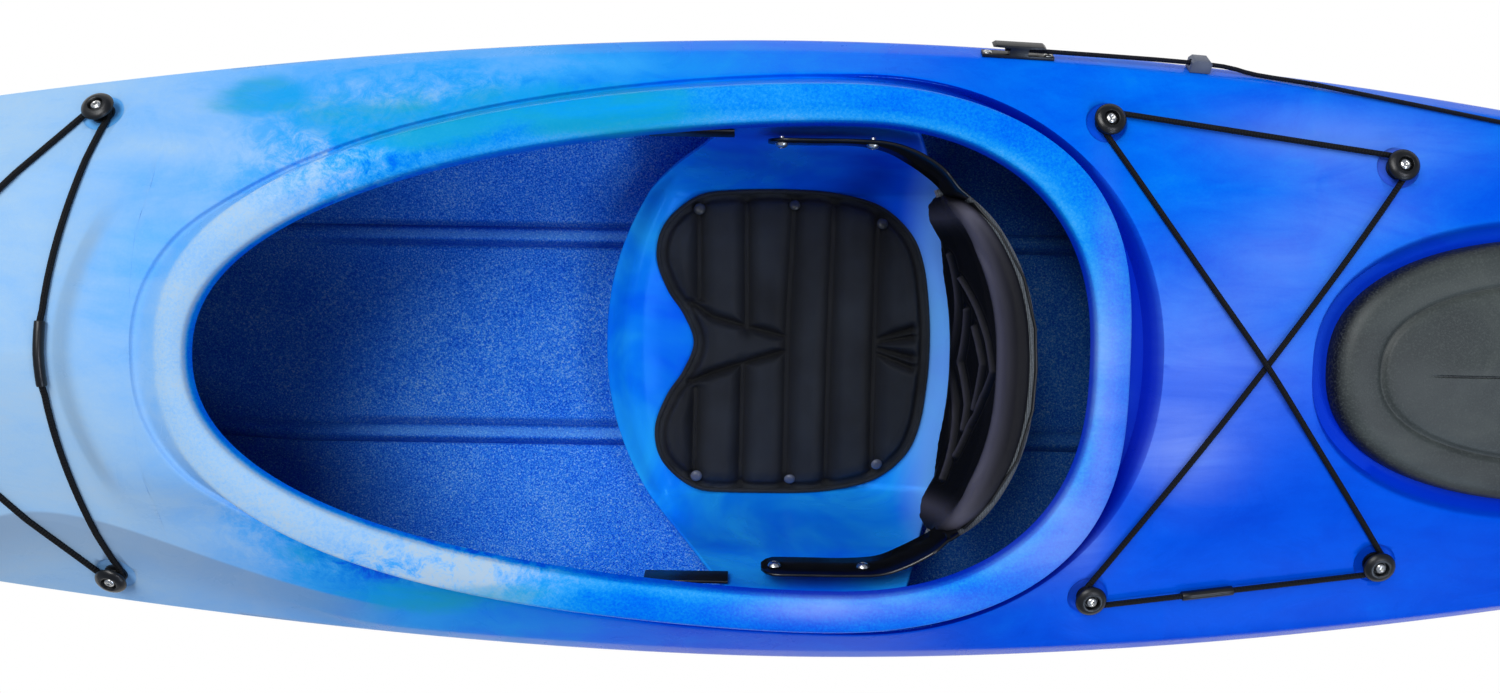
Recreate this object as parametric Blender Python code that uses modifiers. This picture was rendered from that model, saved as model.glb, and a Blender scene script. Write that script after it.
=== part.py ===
# Touring kayak with a moulded seat, backrest, rear hatch, deck cords and a drop skeg.
# Metres, +X to the stern, +Y to starboard, +Z up, origin under the middle on the keel flat.
import math

import bmesh
import bpy
from mathutils import Matrix, Vector
from mathutils.bvhtree import BVHTree

# Hull
LENGTH = 3.66
BEAM = 0.622
WIDEST_X = 0.102
WALL = 0.005
TIP_RADIUS = 0.018
TAPER_PAST_TIP = 0.12
BOW_TAPER = 1.83
STERN_TAPER = 1.96
TAPER_SHARPNESS = 1.3
KEEL_HALF_WIDTH = 0.06
KEEL_SHARE = 0.22
ROCKER_START = 0.62
ROCKER_RISE = 0.040
STEM_LENGTH = 0.30
STEM_RISE = 0.19
BILGE_POWER_MID = 2.5
BILGE_POWER_END = 1.6
RIB_Y = 0.120
RIB_SHARE = 0.43
RIB_HALF_WIDTH = 0.015
RIB_DEPTH = 0.009
RIB_FADE_START = 0.85
RIB_FADE_LENGTH = 0.30

# Deck
SHEER_MID = 0.212
SHEER_BOW = 0.300
SHEER_STERN = 0.262
SHEER_POWER = 2.2
DECK_BOW = 0.312
DECK_FRONT = 0.320
DECK_REAR = 0.270
CROWN_POWER = 2.2
EDGE_SHARE = 0.955
BOW_EDGE_SHARE = 0.66
EDGE_SWEEP_START = -0.61
EDGE_SWEEP_LENGTH = 0.33
EDGE_SLOPE = 0.45
EDGE_LIFT = 0.015
COWL_FRONT = -0.588
COWL_RAMP = 0.038
COWL_SWEEP = 0.034
COWL_HALF_WIDTH = 0.136
COWL_FADE = 0.055
COWL_HEIGHT = 0.015
SHOULDER_LIFT = 0.016

# Cockpit rim: each oval is front x, rear x, half width, widest x, front and rear curve powers
RIM_FOOT = (-0.505, 0.448, 0.272, 0.150, (1.90, 0.404), (2.20, 0.470))
RIM_BASE = (-0.500, 0.4165, 0.2685, 0.150, (1.90, 0.404), (2.20, 0.450))
RIM_EDGE = (-0.4855, 0.4125, 0.2515, 0.130, (1.90, 0.404), (2.20, 0.330))
RIM_INNER = (-0.4555, 0.3810, 0.2245, 0.141, (1.87, 0.447), (2.23, 0.396))
RIM_MOUTH = (-0.4515, 0.3770, 0.2205, 0.141, (1.87, 0.447), (2.23, 0.396))
RIM_TOP_FRONT = 0.345
RIM_TOP_SIDE = 0.300
RIM_TOP_REAR = 0.285
RIM_LIP = 0.024
RIM_ROUND = 0.003
GUTTER_DEPTH = 0.024
GUTTER_START = 0.10
GUTTER_LENGTH = 0.20

# Rear hatch
HATCH_X = 0.837
HATCH_HALF_LENGTH = 0.240
HATCH_HALF_WIDTH = 0.131
HATCH_RECESS = 0.0135
HATCH_FLOOR_DROP = 0.016
HATCH_RIM_HEIGHT = 0.014
HATCH_RIM_INSET = 0.012
HATCH_RIM_WIDTH = 0.014
HATCH_HEIGHT = 0.026
HATCH_DOME = 0.010
HATCH_PANEL_INSET = 0.045

# Seat: a pan with a rolled front lip and two wings that rise to the cockpit rim
SEAT_FRONT = -0.108
SEAT_FRONT_SWEEP = 0.141
SEAT_REAR = 0.300
SEAT_REAR_SWEEP = 0.095
SEAT_FRONT_POWER = 2.2
SEAT_WALL = 0.004
PAN_HALF_WIDTH = 0.168
PAN_SHARE = 0.60
PAN_HEIGHT = 0.040
PAN_FRONT_RISE = 0.050
PAN_REAR_RISE = 0.022
LIP_DROP = 0.016
WING_TOP = 0.288
WING_HALF_WIDTH = 0.2125
WING_TAPER = 0.005
WING_FLARE = 0.0042
SEAT_ROWS = (0.0, 0.035, 0.10, 0.25, 0.45, 0.65, 0.85, 1.0)
SEAT_COLUMNS = (0.0, 0.22, 0.42, 0.60, 0.70, 0.80, 0.90, 1.0)

# Seat pad, half outline from the front notch round to the middle of the rear edge. Each point is its x
# and its half width as a share of the pan's
PAD_OUTLINE = (
    (-0.0095, 0.000),
    (-0.021, 0.185),
    (-0.039, 0.345),
    (-0.051, 0.554),
    (-0.042, 0.762),
    (-0.008, 0.935),
    (0.036, 0.982),
    (0.098, 0.994),
    (0.155, 0.970),
    (0.200, 0.893),
    (0.232, 0.726),
    (0.247, 0.524),
    (0.254, 0.244),
    (0.256, 0.000),
)
PAD_CENTRE_X = 0.105
PAD_THICKNESS = 0.015
SNAP_PLACES = ((-0.0054, 0.887), (0.101, 0.926), (0.1997, 0.812))
SNAP_RADIUS = 0.0065
SNAP_HEIGHT = 0.004

# Backrest, hung between two flat arms
BACKREST_HALF_WIDTH = 0.163
BACKREST_SHIFT = -0.006
BACKREST_TOP_X = 0.300
BACKREST_LEAN = 0.036
BACKREST_SWEEP = 0.062
BACKREST_LOW = 0.115
BACKREST_HIGH = 0.262
BACKREST_PAD = 0.024
BACKREST_PLATE = 0.004
ARM_HEIGHT = 0.036
ARM_THICKNESS = 0.003
ARM_MIDDLE_Z = 0.256
ARM_CLEARANCE = 0.0105
ARM_ROUTE = (
    (0.070, 0.0),
    (0.100, 0.0),
    (0.140, 0.0),
    (0.182, 0.0),
    (0.208, 0.235),
    (0.232, 0.706),
    (0.254, 1.0),
    (0.294, 1.0),
)
ARM_BOLT_X = (0.079, 0.166)
BOLT_RADIUS = 0.0028
PIVOT_BLOCK = 0.012
PIVOT_HEIGHT = (0.012, 0.006)
PIVOT_STUD = 0.003
HANGER_FRONT = -0.048
HANGER_REAR = 0.034
HANGER_Y = 0.2222
HANGER_THICKNESS = 0.003
HANGER_HEIGHT = 0.026

# Deck cord knobs: place of the starboard one of each pair
KNOB_PAIRS = (
    ("bow", -0.880, 0.113),
    ("front", -0.573, 0.2255),
    ("middle", 0.390, 0.2315),
    ("rear", 0.671, 0.193),
)
KNOB_RADIUS = 0.0155
KNOB_NECK = 0.0055
KNOB_GROOVE_Z = 0.0062
KNOB_POCKET_RADIUS = 0.0205
KNOB_POCKET_DEPTH = 0.0015
SCREW_RADIUS = 0.0023
SCREW_HOLE = 0.0029
SCREW_REACH = 0.012
BUNGEE_RADIUS = 0.0028
CORD_STEP = 0.050
WRAP_STEP = math.radians(40)
SPLICE_LENGTH = 0.060
SPLICE_WALL = 0.0018
REAR_SPLICE_SHARE = 0.40
FRONT_SPLICE_SHARE = 0.50
CROSSING_LIFT = 0.0068
CROSSING_SPREAD = 0.06
COWL_PUSH = -0.028

# Skeg line along the starboard gunwale, with its cleat and guide
LINE_RADIUS = 0.0022
LINE_LIFT = 0.0070
CLEAT_X = 0.307
CLEAT_SHARE = 0.72
CLEAT_LENGTH = 0.070
CLEAT_WIDTH = 0.011
CLEAT_BASE = 0.003
CLEAT_BAR = 0.052
CLEAT_POST = 0.018
CLEAT_BAR_LOW = 0.0098
CLEAT_HEIGHT = 0.0128
CLEAT_SCREW_X = 0.0295
GUIDE_X = 0.4845
GUIDE_SHARE = 0.48
GUIDE_LENGTH = 0.020
GUIDE_WIDTH = 0.015
GUIDE_HEIGHT = 0.0125
GUIDE_HOLE = 0.0034
LINE_PLAN = ((0.7699, 0.2391), (1.290, 0.1445))
LINE_ENTRY = (1.3135, 0.1405)
LINE_STEP = 0.06

# Skeg
SKEG_FRONT = 1.235
SKEG_LENGTH = 0.255
SKEG_THICKNESS = 0.006
SKEG_SIDE_GAP = 0.0025
SKEG_BOX_WALL = 0.003
SKEG_BOX_HEIGHT = 0.105
SKEG_PIVOT_INSET = 0.022
SKEG_PIVOT_LIFT = 0.028
SKEG_NOSE = 0.016
SKEG_TRUNNION_RADIUS = 0.004
SKEG_TRUNNION_REACH = 0.0078

# Foot braces
RAIL_FRONT = -0.86
RAIL_REAR = -0.48
RAIL_Z = 0.150
RAIL_HEIGHT = 0.022
RAIL_DEPTH = 0.010
PEDAL_SHARE = 0.55
CARRIAGE_LENGTH = 0.060
CARRIAGE_WALL = 0.005
CARRIAGE_SETBACK = 0.004
PEDAL_WIDTH = 0.060
PEDAL_HEIGHT = 0.100
PEDAL_THICKNESS = 0.007

# Foam in the bow
FLOAT_FRONT = -1.34
FLOAT_REAR = -0.98
FLOAT_HALF_WIDTH = 0.022

# Fit between pieces
GAP = 0.0003
RUNNING_GAP = 0.0010

# Mesh fineness
COCKPIT_SEGMENTS = 20
HATCH_SEGMENTS = 10
ROUND_STEPS = 12

COLLECTION_NAME = "touring_kayak"


# Scene and materials


def clear_scene():
    for obj in list(bpy.data.objects):
        bpy.data.objects.remove(obj, do_unlink=True)


def make_collection(name):
    collection = bpy.data.collections.new(name)
    bpy.context.scene.collection.children.link(collection)
    return collection


clear_scene()
PARTS = make_collection(COLLECTION_NAME)
CUTTERS = make_collection("cutters")
CUTTERS.hide_render = True


def make_material(name, color, roughness, metallic=0.0):
    material = bpy.data.materials.new(name)
    material.use_nodes = True
    shader = material.node_tree.nodes["Principled BSDF"]
    shader.inputs["Base Color"].default_value = (*color, 1.0)
    shader.inputs["Roughness"].default_value = roughness
    shader.inputs["Metallic"].default_value = metallic
    return material


def add_object(name, data, finish, matrix=None, smooth=True):
    obj = bpy.data.objects.new(name, data)
    PARTS.objects.link(obj)
    color, roughness, metallic = finish
    obj.data.materials.append(make_material(name, color, roughness, metallic))
    if matrix is not None:
        obj.matrix_world = matrix
    if smooth and obj.type == "MESH":
        obj.data.shade_smooth()
        obj.data.set_sharp_from_angle(angle=math.radians(35))
    return obj


BLUE_SHELL = ((0.004, 0.115, 0.80), 0.30, 0.0)
SEAT_BLUE = ((0.004, 0.09, 0.72), 0.20, 0.0)
BLACK_PLASTIC = ((0.012, 0.012, 0.013), 0.35, 0.0)
BLACK_FABRIC = ((0.014, 0.014, 0.015), 0.85, 0.0)
CORD_BLACK = ((0.010, 0.010, 0.011), 0.80, 0.0)
HATCH_RUBBER = ((0.055, 0.062, 0.065), 0.60, 0.0)
FOAM_GREY = ((0.045, 0.045, 0.047), 0.90, 0.0)
STAINLESS = ((0.62, 0.62, 0.60), 0.25, 1.0)


# Small tools


def smoothstep(value):
    t = min(max(value, 0.0), 1.0)
    return t * t * (3.0 - 2.0 * t)


def mix(a, b, share):
    return a + (b - a) * share


def mix_points(p, q, share):
    return [mix(a, b, share) for a, b in zip(p, q)]


def skin(mesh, rows, close_rows=False, close_columns=False):
    """Adds quads between neighbouring rows of points, and returns the rows of vertices."""
    verts = [[mesh.verts.new(point) for point in row] for row in rows]
    row_count = len(verts) if close_rows else len(verts) - 1
    for i in range(row_count):
        here = verts[i]
        there = verts[(i + 1) % len(verts)]
        column_count = len(here) if close_columns else len(here) - 1
        for j in range(column_count):
            k = (j + 1) % len(here)
            mesh.faces.new((here[j], here[k], there[k], there[j]))
    return verts


def finish_mesh(mesh, name, merge=1e-5, recalculate=True):
    bmesh.ops.remove_doubles(mesh, verts=mesh.verts, dist=merge)
    bmesh.ops.dissolve_degenerate(mesh, edges=mesh.edges, dist=1e-6)
    if recalculate:
        bmesh.ops.recalc_face_normals(mesh, faces=mesh.faces)
    data = bpy.data.meshes.new(name)
    mesh.to_mesh(data)
    mesh.free()
    return data


def loft_solid(name, rows):
    """Closed solid through rows that are each a closed loop of points, capped at both ends."""
    mesh = bmesh.new()
    verts = skin(mesh, rows, close_columns=True)
    mesh.faces.new(verts[0])
    mesh.faces.new(list(reversed(verts[-1])))
    return finish_mesh(mesh, name)


def solidify(obj, thickness, offset=-1.0, even=True):
    modifier = obj.modifiers.new("wall", "SOLIDIFY")
    modifier.thickness = thickness
    modifier.offset = offset
    modifier.use_even_offset = even
    modifier.use_quality_normals = True
    return modifier


def mirror(obj):
    modifier = obj.modifiers.new("other side", "MIRROR")
    modifier.use_axis = (False, True, False)
    modifier.merge_threshold = 0.0001
    return modifier


def frame_at(origin, normal, along=(1.0, 0.0, 0.0)):
    """Matrix with local Z on the normal and local X as near to the given direction as it can be."""
    z = Vector(normal).normalized()
    y = z.cross(Vector(along)).normalized()
    x = y.cross(z)
    rotation = Matrix((x, y, z)).transposed().to_4x4()
    return Matrix.Translation(Vector(origin)) @ rotation


def turned(name, profile, finish, matrix, closed=False, steps=ROUND_STEPS):
    """Solid of revolution about local Z; the profile runs down its outer side."""
    mesh = bmesh.new()
    verts = [mesh.verts.new((radius, 0.0, height)) for radius, height in profile]
    for first, second in zip(verts, verts[1:]):
        mesh.edges.new((first, second))
    if closed:
        mesh.edges.new((verts[-1], verts[0]))
    data = bpy.data.meshes.new(name)
    mesh.to_mesh(data)
    mesh.free()
    obj = add_object(name, data, finish, matrix, smooth=False)
    screw = obj.modifiers.new("turned", "SCREW")
    screw.steps = steps
    screw.render_steps = steps
    screw.use_merge_vertices = True
    screw.merge_threshold = 0.0001
    screw.use_smooth_shade = True
    return obj


def cutter_object(name, shapes):
    """One cutter holding a cylinder (matrix, radius, length) for each hole."""
    mesh = bmesh.new()
    for matrix, radius, length in shapes:
        bmesh.ops.create_cone(
            mesh,
            cap_ends=True,
            segments=8,
            radius1=radius,
            radius2=radius,
            depth=length,
            matrix=matrix,
        )
    data = bpy.data.meshes.new(name)
    mesh.to_mesh(data)
    mesh.free()
    obj = bpy.data.objects.new(name, data)
    CUTTERS.objects.link(obj)
    obj.hide_render = True
    obj.display_type = "WIRE"
    return obj


def cut(obj, cutter):
    modifier = obj.modifiers.new("holes", "BOOLEAN")
    modifier.operation = "DIFFERENCE"
    modifier.solver = "EXACT"
    modifier.object = cutter
    return modifier


def join(obj, addition):
    modifier = obj.modifiers.new("joined", "BOOLEAN")
    modifier.operation = "UNION"
    modifier.solver = "EXACT"
    modifier.object = addition
    return modifier


def cord(name, points, radius, finish):
    """Round cord of eight sides along the given points."""
    curve = bpy.data.curves.new(name, "CURVE")
    curve.dimensions = "3D"
    curve.bevel_depth = radius
    curve.bevel_resolution = 2
    curve.use_fill_caps = True
    spline = curve.splines.new("POLY")
    spline.points.add(len(points) - 1)
    for target, point in zip(spline.points, points):
        target.co = (*point, 1.0)
    return add_object(name, curve, finish)


# Hull form


def half_beam(x):
    bow_side = x < WIDEST_X
    tip = -LENGTH / 2 if bow_side else LENGTH / 2
    reach = abs(tip - WIDEST_X) + TAPER_PAST_TIP
    share = abs(x - WIDEST_X) / reach
    power = BOW_TAPER if bow_side else STERN_TAPER
    tapered = BEAM / 2 * (1 - share**power) ** TAPER_SHARPNESS
    from_tip = min(abs(tip - x) / TIP_RADIUS, 1.0)
    blunt = TIP_RADIUS * math.sqrt(max(0.0, 1 - (1 - from_tip) ** 2))
    if from_tip >= 1.0:
        return max(tapered, blunt)
    return blunt


def end_share(x):
    """0 amidships, 1 at either tip."""
    tip = -LENGTH / 2 if x < WIDEST_X else LENGTH / 2
    return abs(x - WIDEST_X) / abs(tip - WIDEST_X)


def keel_height(x):
    past = max(0.0, abs(x) - ROCKER_START) / (LENGTH / 2 - ROCKER_START)
    stem = max(0.0, abs(x) - (LENGTH / 2 - STEM_LENGTH)) / STEM_LENGTH
    return ROCKER_RISE * past**2.2 + STEM_RISE * stem**2.4


def sheer_height(x):
    top = SHEER_BOW if x < WIDEST_X else SHEER_STERN
    return SHEER_MID + (top - SHEER_MID) * end_share(x) ** SHEER_POWER


def keel_half_width(x):
    return min(KEEL_HALF_WIDTH, KEEL_SHARE * half_beam(x))


def bottom_height(x, y):
    """Outer skin of the hull from the keel to the sheer, without the tracking grooves."""
    beam = half_beam(x)
    keel = keel_half_width(x)
    low = keel_height(x)
    high = sheer_height(x)
    power = mix(BILGE_POWER_MID, BILGE_POWER_END, end_share(x) ** 1.5)
    if y <= keel or beam <= keel:
        return low
    share = min((y - keel) / (beam - keel), 1.0)
    return high - (high - low) * (1 - share**power) ** (1 / power)


def deck_edge(x):
    """Half width and height of the crease between the sloped side and the top of the deck."""
    sweep = min(max((x - EDGE_SWEEP_START) / EDGE_SWEEP_LENGTH, 0.0), 1.0)
    share = mix(BOW_EDGE_SHARE, EDGE_SHARE, math.sin(math.pi / 2 * sweep) ** 1.2)
    beam = half_beam(x)
    width = share * beam
    height = sheer_height(x) + EDGE_SLOPE * (beam - width) + EDGE_LIFT * beam / (BEAM / 2)
    return width, height


def deck_middle(x):
    if x < RIM_FOOT[0]:
        return mix(DECK_FRONT, DECK_BOW, (RIM_FOOT[0] - x) / (LENGTH / 2 + RIM_FOOT[0]))
    along = (x - RIM_FOOT[0]) / (RIM_FOOT[1] - RIM_FOOT[0])
    return mix(DECK_FRONT, DECK_REAR, smoothstep(along))


def cowl_height(x, y):
    front = COWL_FRONT + COWL_SWEEP * (y / COWL_HALF_WIDTH) ** 2
    rise = smoothstep((x - front) / COWL_RAMP)
    side = 1 - smoothstep((abs(y) - COWL_HALF_WIDTH + COWL_FADE / 2) / COWL_FADE)
    aft = 1 - smoothstep((x - WIDEST_X) / 0.2)
    return COWL_HEIGHT * rise * side * aft


def deck_height(x, y):
    """Outer skin of the deck inside the crease."""
    width, edge = deck_edge(x)
    if width < 1e-6:
        return deck_middle(x)
    share = min(abs(y) / width, 1.0)
    top = max(deck_middle(x), edge)
    return edge + (top - edge) * (1 - share**CROWN_POWER) + cowl_height(x, abs(y))


def oval_point(oval, angle):
    front, rear, half, widest, front_powers, rear_powers = oval
    forward = angle < math.pi / 2
    power, bulge = front_powers if forward else rear_powers
    reach = (widest - front) if forward else (rear - widest)
    share = abs(math.cos(angle)) ** (2 / power)
    x = widest - reach * share if forward else widest + reach * share
    return x, half * abs(math.sin(angle)) ** (2 * bulge)


def oval_points(oval, count, samples=1600):
    """Half of an oval from its front tip to its rear tip, in steps of equal length."""
    dense = [oval_point(oval, math.pi * i / samples) for i in range(samples + 1)]
    dense[0] = (oval[0], 0.0)
    dense[-1] = (oval[1], 0.0)
    run = [0.0]
    for a, b in zip(dense, dense[1:]):
        run.append(run[-1] + math.dist(a, b))
    result = []
    j = 0
    for i in range(count + 1):
        target = run[-1] * i / count
        while j < samples - 1 and run[j + 1] < target:
            j += 1
        step = run[j + 1] - run[j]
        share = (target - run[j]) / step if step > 0 else 0.0
        result.append(tuple(mix_points(dense[j], dense[j + 1], share)))
    return result


def rim_top(x):
    front = smoothstep((0.02 - x) / 0.51)
    rear = smoothstep((x - 0.10) / 0.31)
    height = mix(RIM_TOP_SIDE, RIM_TOP_FRONT, front)
    return height - (RIM_TOP_SIDE - RIM_TOP_REAR) * rear


BOTTOM_SHARES = (0.74, 0.90, 0.97)
DECK_SHARES = (0.80, 0.55, 0.28, 0.0)


def hull_section(x, inner_y):
    """Half section from the keel, round the bilge and sheer, over the deck to inner_y."""
    beam = half_beam(x)
    keel = keel_half_width(x)
    scale = beam / (BEAM / 2)
    rib = min(RIB_Y, RIB_SHARE * beam)
    fade = 1 - smoothstep((abs(x) - RIB_FADE_START) / RIB_FADE_LENGTH)
    half = RIB_HALF_WIDTH * min(1.0, scale * 1.2)
    points = [(x, 0.0, keel_height(x)), (x, keel, keel_height(x))]
    for offset, depth in ((-half, 0.0), (0.0, RIB_DEPTH * fade), (half, 0.0)):
        y = rib + offset
        points.append((x, y, bottom_height(x, y) + depth))
    for share in BOTTOM_SHARES:
        y = keel + (beam - keel) * share
        points.append((x, y, bottom_height(x, y)))
    points.append((x, beam, sheer_height(x)))
    width, edge = deck_edge(x)
    points.append((x, width, edge))
    lift = SHOULDER_LIFT * (inner_y / RIM_FOOT[2]) ** 3
    for share in DECK_SHARES:
        y = mix(inner_y, width, share)
        points.append((x, y, deck_height(x, y) + lift * (1 - share)))
    return points


def rim_rows(foot):
    """Rows of the cockpit rim, from the deck edge over the top and down to the mouth."""
    base = oval_points(RIM_BASE, COCKPIT_SEGMENTS)
    edge = oval_points(RIM_EDGE, COCKPIT_SEGMENTS)
    inner = oval_points(RIM_INNER, COCKPIT_SEGMENTS)
    mouth = oval_points(RIM_MOUTH, COCKPIT_SEGMENTS)
    rows = []
    for i, point in enumerate(foot):
        x, y, z = point
        gutter = GUTTER_DEPTH * smoothstep((x - GUTTER_START) / GUTTER_LENGTH) + 0.001
        floor_outer = mix_points(point[:2], base[i], 0.35)
        crest = mix_points(edge[i], inner[i], 0.5)
        rows.append(
            [
                point,
                (*floor_outer, z - gutter),
                (*base[i], z - gutter),
                (*edge[i], rim_top(edge[i][0]) - RIM_ROUND),
                (*crest, rim_top(crest[0])),
                (*inner[i], rim_top(inner[i][0]) - RIM_ROUND),
                (*mouth[i], rim_top(mouth[i][0]) - RIM_LIP),
            ]
        )
    return rows


def hatch_oval(inset):
    half_length = HATCH_HALF_LENGTH - inset
    half_width = HATCH_HALF_WIDTH - inset
    return (
        HATCH_X - half_length,
        HATCH_X + half_length,
        half_width,
        HATCH_X,
        (2.1, 0.5),
        (2.1, 0.5),
    )


HATCH_FLOOR = DECK_REAR - HATCH_FLOOR_DROP


def hatch_rows(foot):
    """Rows of the hatch seat, from the recess edge to the rim round the opening."""
    floor = oval_points(hatch_oval(-HATCH_RECESS / 2), HATCH_SEGMENTS)
    outside = oval_points(hatch_oval(HATCH_RIM_INSET), HATCH_SEGMENTS)
    inside = oval_points(hatch_oval(HATCH_RIM_INSET + HATCH_RIM_WIDTH), HATCH_SEGMENTS)
    rows = []
    for i, point in enumerate(foot):
        rows.append(
            [
                point,
                (*floor[i], HATCH_FLOOR),
                (*outside[i], HATCH_FLOOR),
                (*outside[i], HATCH_FLOOR + HATCH_RIM_HEIGHT),
                (*inside[i], HATCH_FLOOR + HATCH_RIM_HEIGHT),
                (*inside[i], HATCH_FLOOR - HATCH_RIM_HEIGHT),
            ]
        )
    return rows


BULKHEAD_X = 0.500
BULKHEAD_THICKNESS = 0.030
BOW_STATIONS = (0.0, 0.012, 0.07, 0.26, 0.56, 0.86, 1.10, 1.215, 1.245, 1.275, 1.30)
STERN_STATIONS = (0.62, 0.45, 0.26, 0.09, 0.012, 0.0)


def hull_half():
    """Rows of points for the starboard half of the hull and deck."""
    cockpit = oval_points(RIM_FOOT, COCKPIT_SEGMENTS)
    hatch = oval_points(hatch_oval(-HATCH_RECESS), HATCH_SEGMENTS)
    rows = [hull_section(-LENGTH / 2 + d, 0.0) for d in BOW_STATIONS]
    cockpit_rows = [hull_section(x, y) for x, y in cockpit]
    for row, rim in zip(cockpit_rows, rim_rows([r[-1] for r in cockpit_rows])):
        row.extend(rim[1:])
    rows.extend(cockpit_rows)
    rows.append(hull_section(BULKHEAD_X, 0.0))
    rows.append(hull_section(BULKHEAD_X + BULKHEAD_THICKNESS, 0.0))
    hatch_sections = [hull_section(x, y) for x, y in hatch]
    for row, seat in zip(hatch_sections, hatch_rows([r[-1] for r in hatch_sections])):
        row.extend(seat[1:])
    rows.extend(hatch_sections)
    rows.extend(hull_section(LENGTH / 2 - d, 0.0) for d in STERN_STATIONS)
    return rows


def build_hull():
    mesh = bmesh.new()
    rows = hull_half()
    verts = [[mesh.verts.new(point) for point in row] for row in rows]
    for here, there in zip(verts, verts[1:]):
        for j in range(min(len(here), len(there)) - 1):
            quad = (here[j], here[j + 1], there[j + 1], there[j])
            mesh.faces.new(quad)
    data = finish_mesh(mesh, "hull_shell", recalculate=False)
    obj = add_object("hull_shell", data, BLUE_SHELL)
    mirror(obj)
    solidify(obj, WALL)
    return obj


hull = build_hull()
hull_tree = BVHTree.FromObject(hull, bpy.context.evaluated_depsgraph_get())


def drop_on_deck(x, y):
    """Point of the deck under a place."""
    return hull_tree.ray_cast(Vector((x, y, 1.0)), Vector((0.0, 0.0, -1.0)))[0]


def side_wall(x, z, side):
    """Point of the hull's inner wall beside a place."""
    return hull_tree.ray_cast(Vector((x, 0.0, z)), Vector((0.0, side, 0.0)))[0]


def floor_under(x, y, z):
    """Point of the hull's inner floor under a place inside it."""
    return hull_tree.ray_cast(Vector((x, y, z)), Vector((0.0, 0.0, -1.0)))[0]


def side_name(side):
    return "starboard" if side > 0 else "port"


# Bulkhead and bow float


def inset_loop(x, inset):
    """Closed section of the hull at x, moved inwards by the inset."""
    half = [(y, z) for _, y, z in hull_section(x, 0.0)]
    loop = half + [(-y, z) for y, z in reversed(half[1:-1])]
    result = []
    for i, (y, z) in enumerate(loop):
        before = Vector(loop[i - 1])
        after = Vector(loop[(i + 1) % len(loop)])
        here = Vector((y, z))
        first = (here - before).normalized()
        second = (after - here).normalized()
        bisector = Vector((-(first.y + second.y), first.x + second.x)).normalized()
        stretch = max(0.5, bisector.dot(Vector((-first.y, first.x))))
        moved = here + bisector * inset / stretch
        result.append((x, moved.x, moved.y))
    return result


def build_bulkhead():
    inset = WALL + 3 * GAP
    faces = (BULKHEAD_X, BULKHEAD_X + BULKHEAD_THICKNESS)
    data = loft_solid("rear_bulkhead", [inset_loop(x, inset) for x in faces])
    return add_object("rear_bulkhead", data, FOAM_GREY, smooth=False)


def build_bow_float():
    """Foam pillar that stands on the keel and holds the foredeck up."""
    rows = []
    half = FLOAT_HALF_WIDTH
    count = 4
    for i in range(count + 1):
        x = mix(FLOAT_FRONT, FLOAT_REAR, i / count)
        up = Vector((0.0, 0.0, 1.0))
        low = max(floor_under(x, y, 0.2).z for y in (0.0, half)) + 4 * GAP
        high = hull_tree.ray_cast(Vector((x, half, 0.2)), up)[0].z - 3 * GAP
        rows.append([(x, -half, low), (x, half, low), (x, half, high), (x, -half, high)])
    data = loft_solid("bow_float", rows)
    return add_object("bow_float", data, FOAM_GREY, smooth=False)


build_bulkhead()
build_bow_float()


# Seat


def wing_point(share):
    """Half width and height of the seat's side wall; share runs from the pan to the top."""
    y = mix(PAN_HALF_WIDTH, WING_HALF_WIDTH, 1 - (1 - share) ** 1.8)
    return y, mix(0.0, WING_TOP - PAN_HEIGHT, share**1.3)


def seat_point(row, column):
    """Upper face of the seat; row runs front to rear, column from the middle to a wing top."""
    front = SEAT_FRONT + SEAT_FRONT_SWEEP * column**SEAT_FRONT_POWER
    rear = SEAT_REAR - SEAT_REAR_SWEEP * column**2
    x = mix(front, rear, row)
    in_pan = min(column / PAN_SHARE, 1.0)
    rise = PAN_FRONT_RISE * (1 - smoothstep(row / 0.45)) + PAN_REAR_RISE * smoothstep((row - 0.7) / 0.3)
    pan = PAN_HEIGHT + rise * (1 - smoothstep((column - PAN_SHARE) / 0.25))
    lip = LIP_DROP * (1 - smoothstep(row / 0.08)) * (1 - smoothstep((column - PAN_SHARE) / 0.3))
    if column <= PAN_SHARE:
        return x, PAN_HALF_WIDTH * in_pan, pan - lip
    share = (column - PAN_SHARE) / (1 - PAN_SHARE)
    y, wall_rise = wing_point(share)
    y -= WING_TAPER * share * abs(2 * row - 1) ** 4
    y += WING_FLARE * smoothstep((share - 0.8) / 0.2) * (1 - (2 * row - 1) ** 2)
    return x, y, pan - lip + wall_rise * (WING_TOP - pan) / (WING_TOP - PAN_HEIGHT)


def build_seat():
    mesh = bmesh.new()
    rows = [[seat_point(row, column) for column in SEAT_COLUMNS] for row in SEAT_ROWS]
    skin(mesh, [list(reversed(row)) for row in rows])
    data = finish_mesh(mesh, "seat_shell", recalculate=False)
    obj = add_object("seat_shell", data, SEAT_BLUE)
    mirror(obj)
    solidify(obj, SEAT_WALL)
    return obj


seat = build_seat()
seat_tree = BVHTree.FromObject(seat, bpy.context.evaluated_depsgraph_get())


def seat_height(x, y):
    return seat_tree.ray_cast(Vector((x, y, 1.0)), Vector((0.0, 0.0, -1.0)))[0].z


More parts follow.
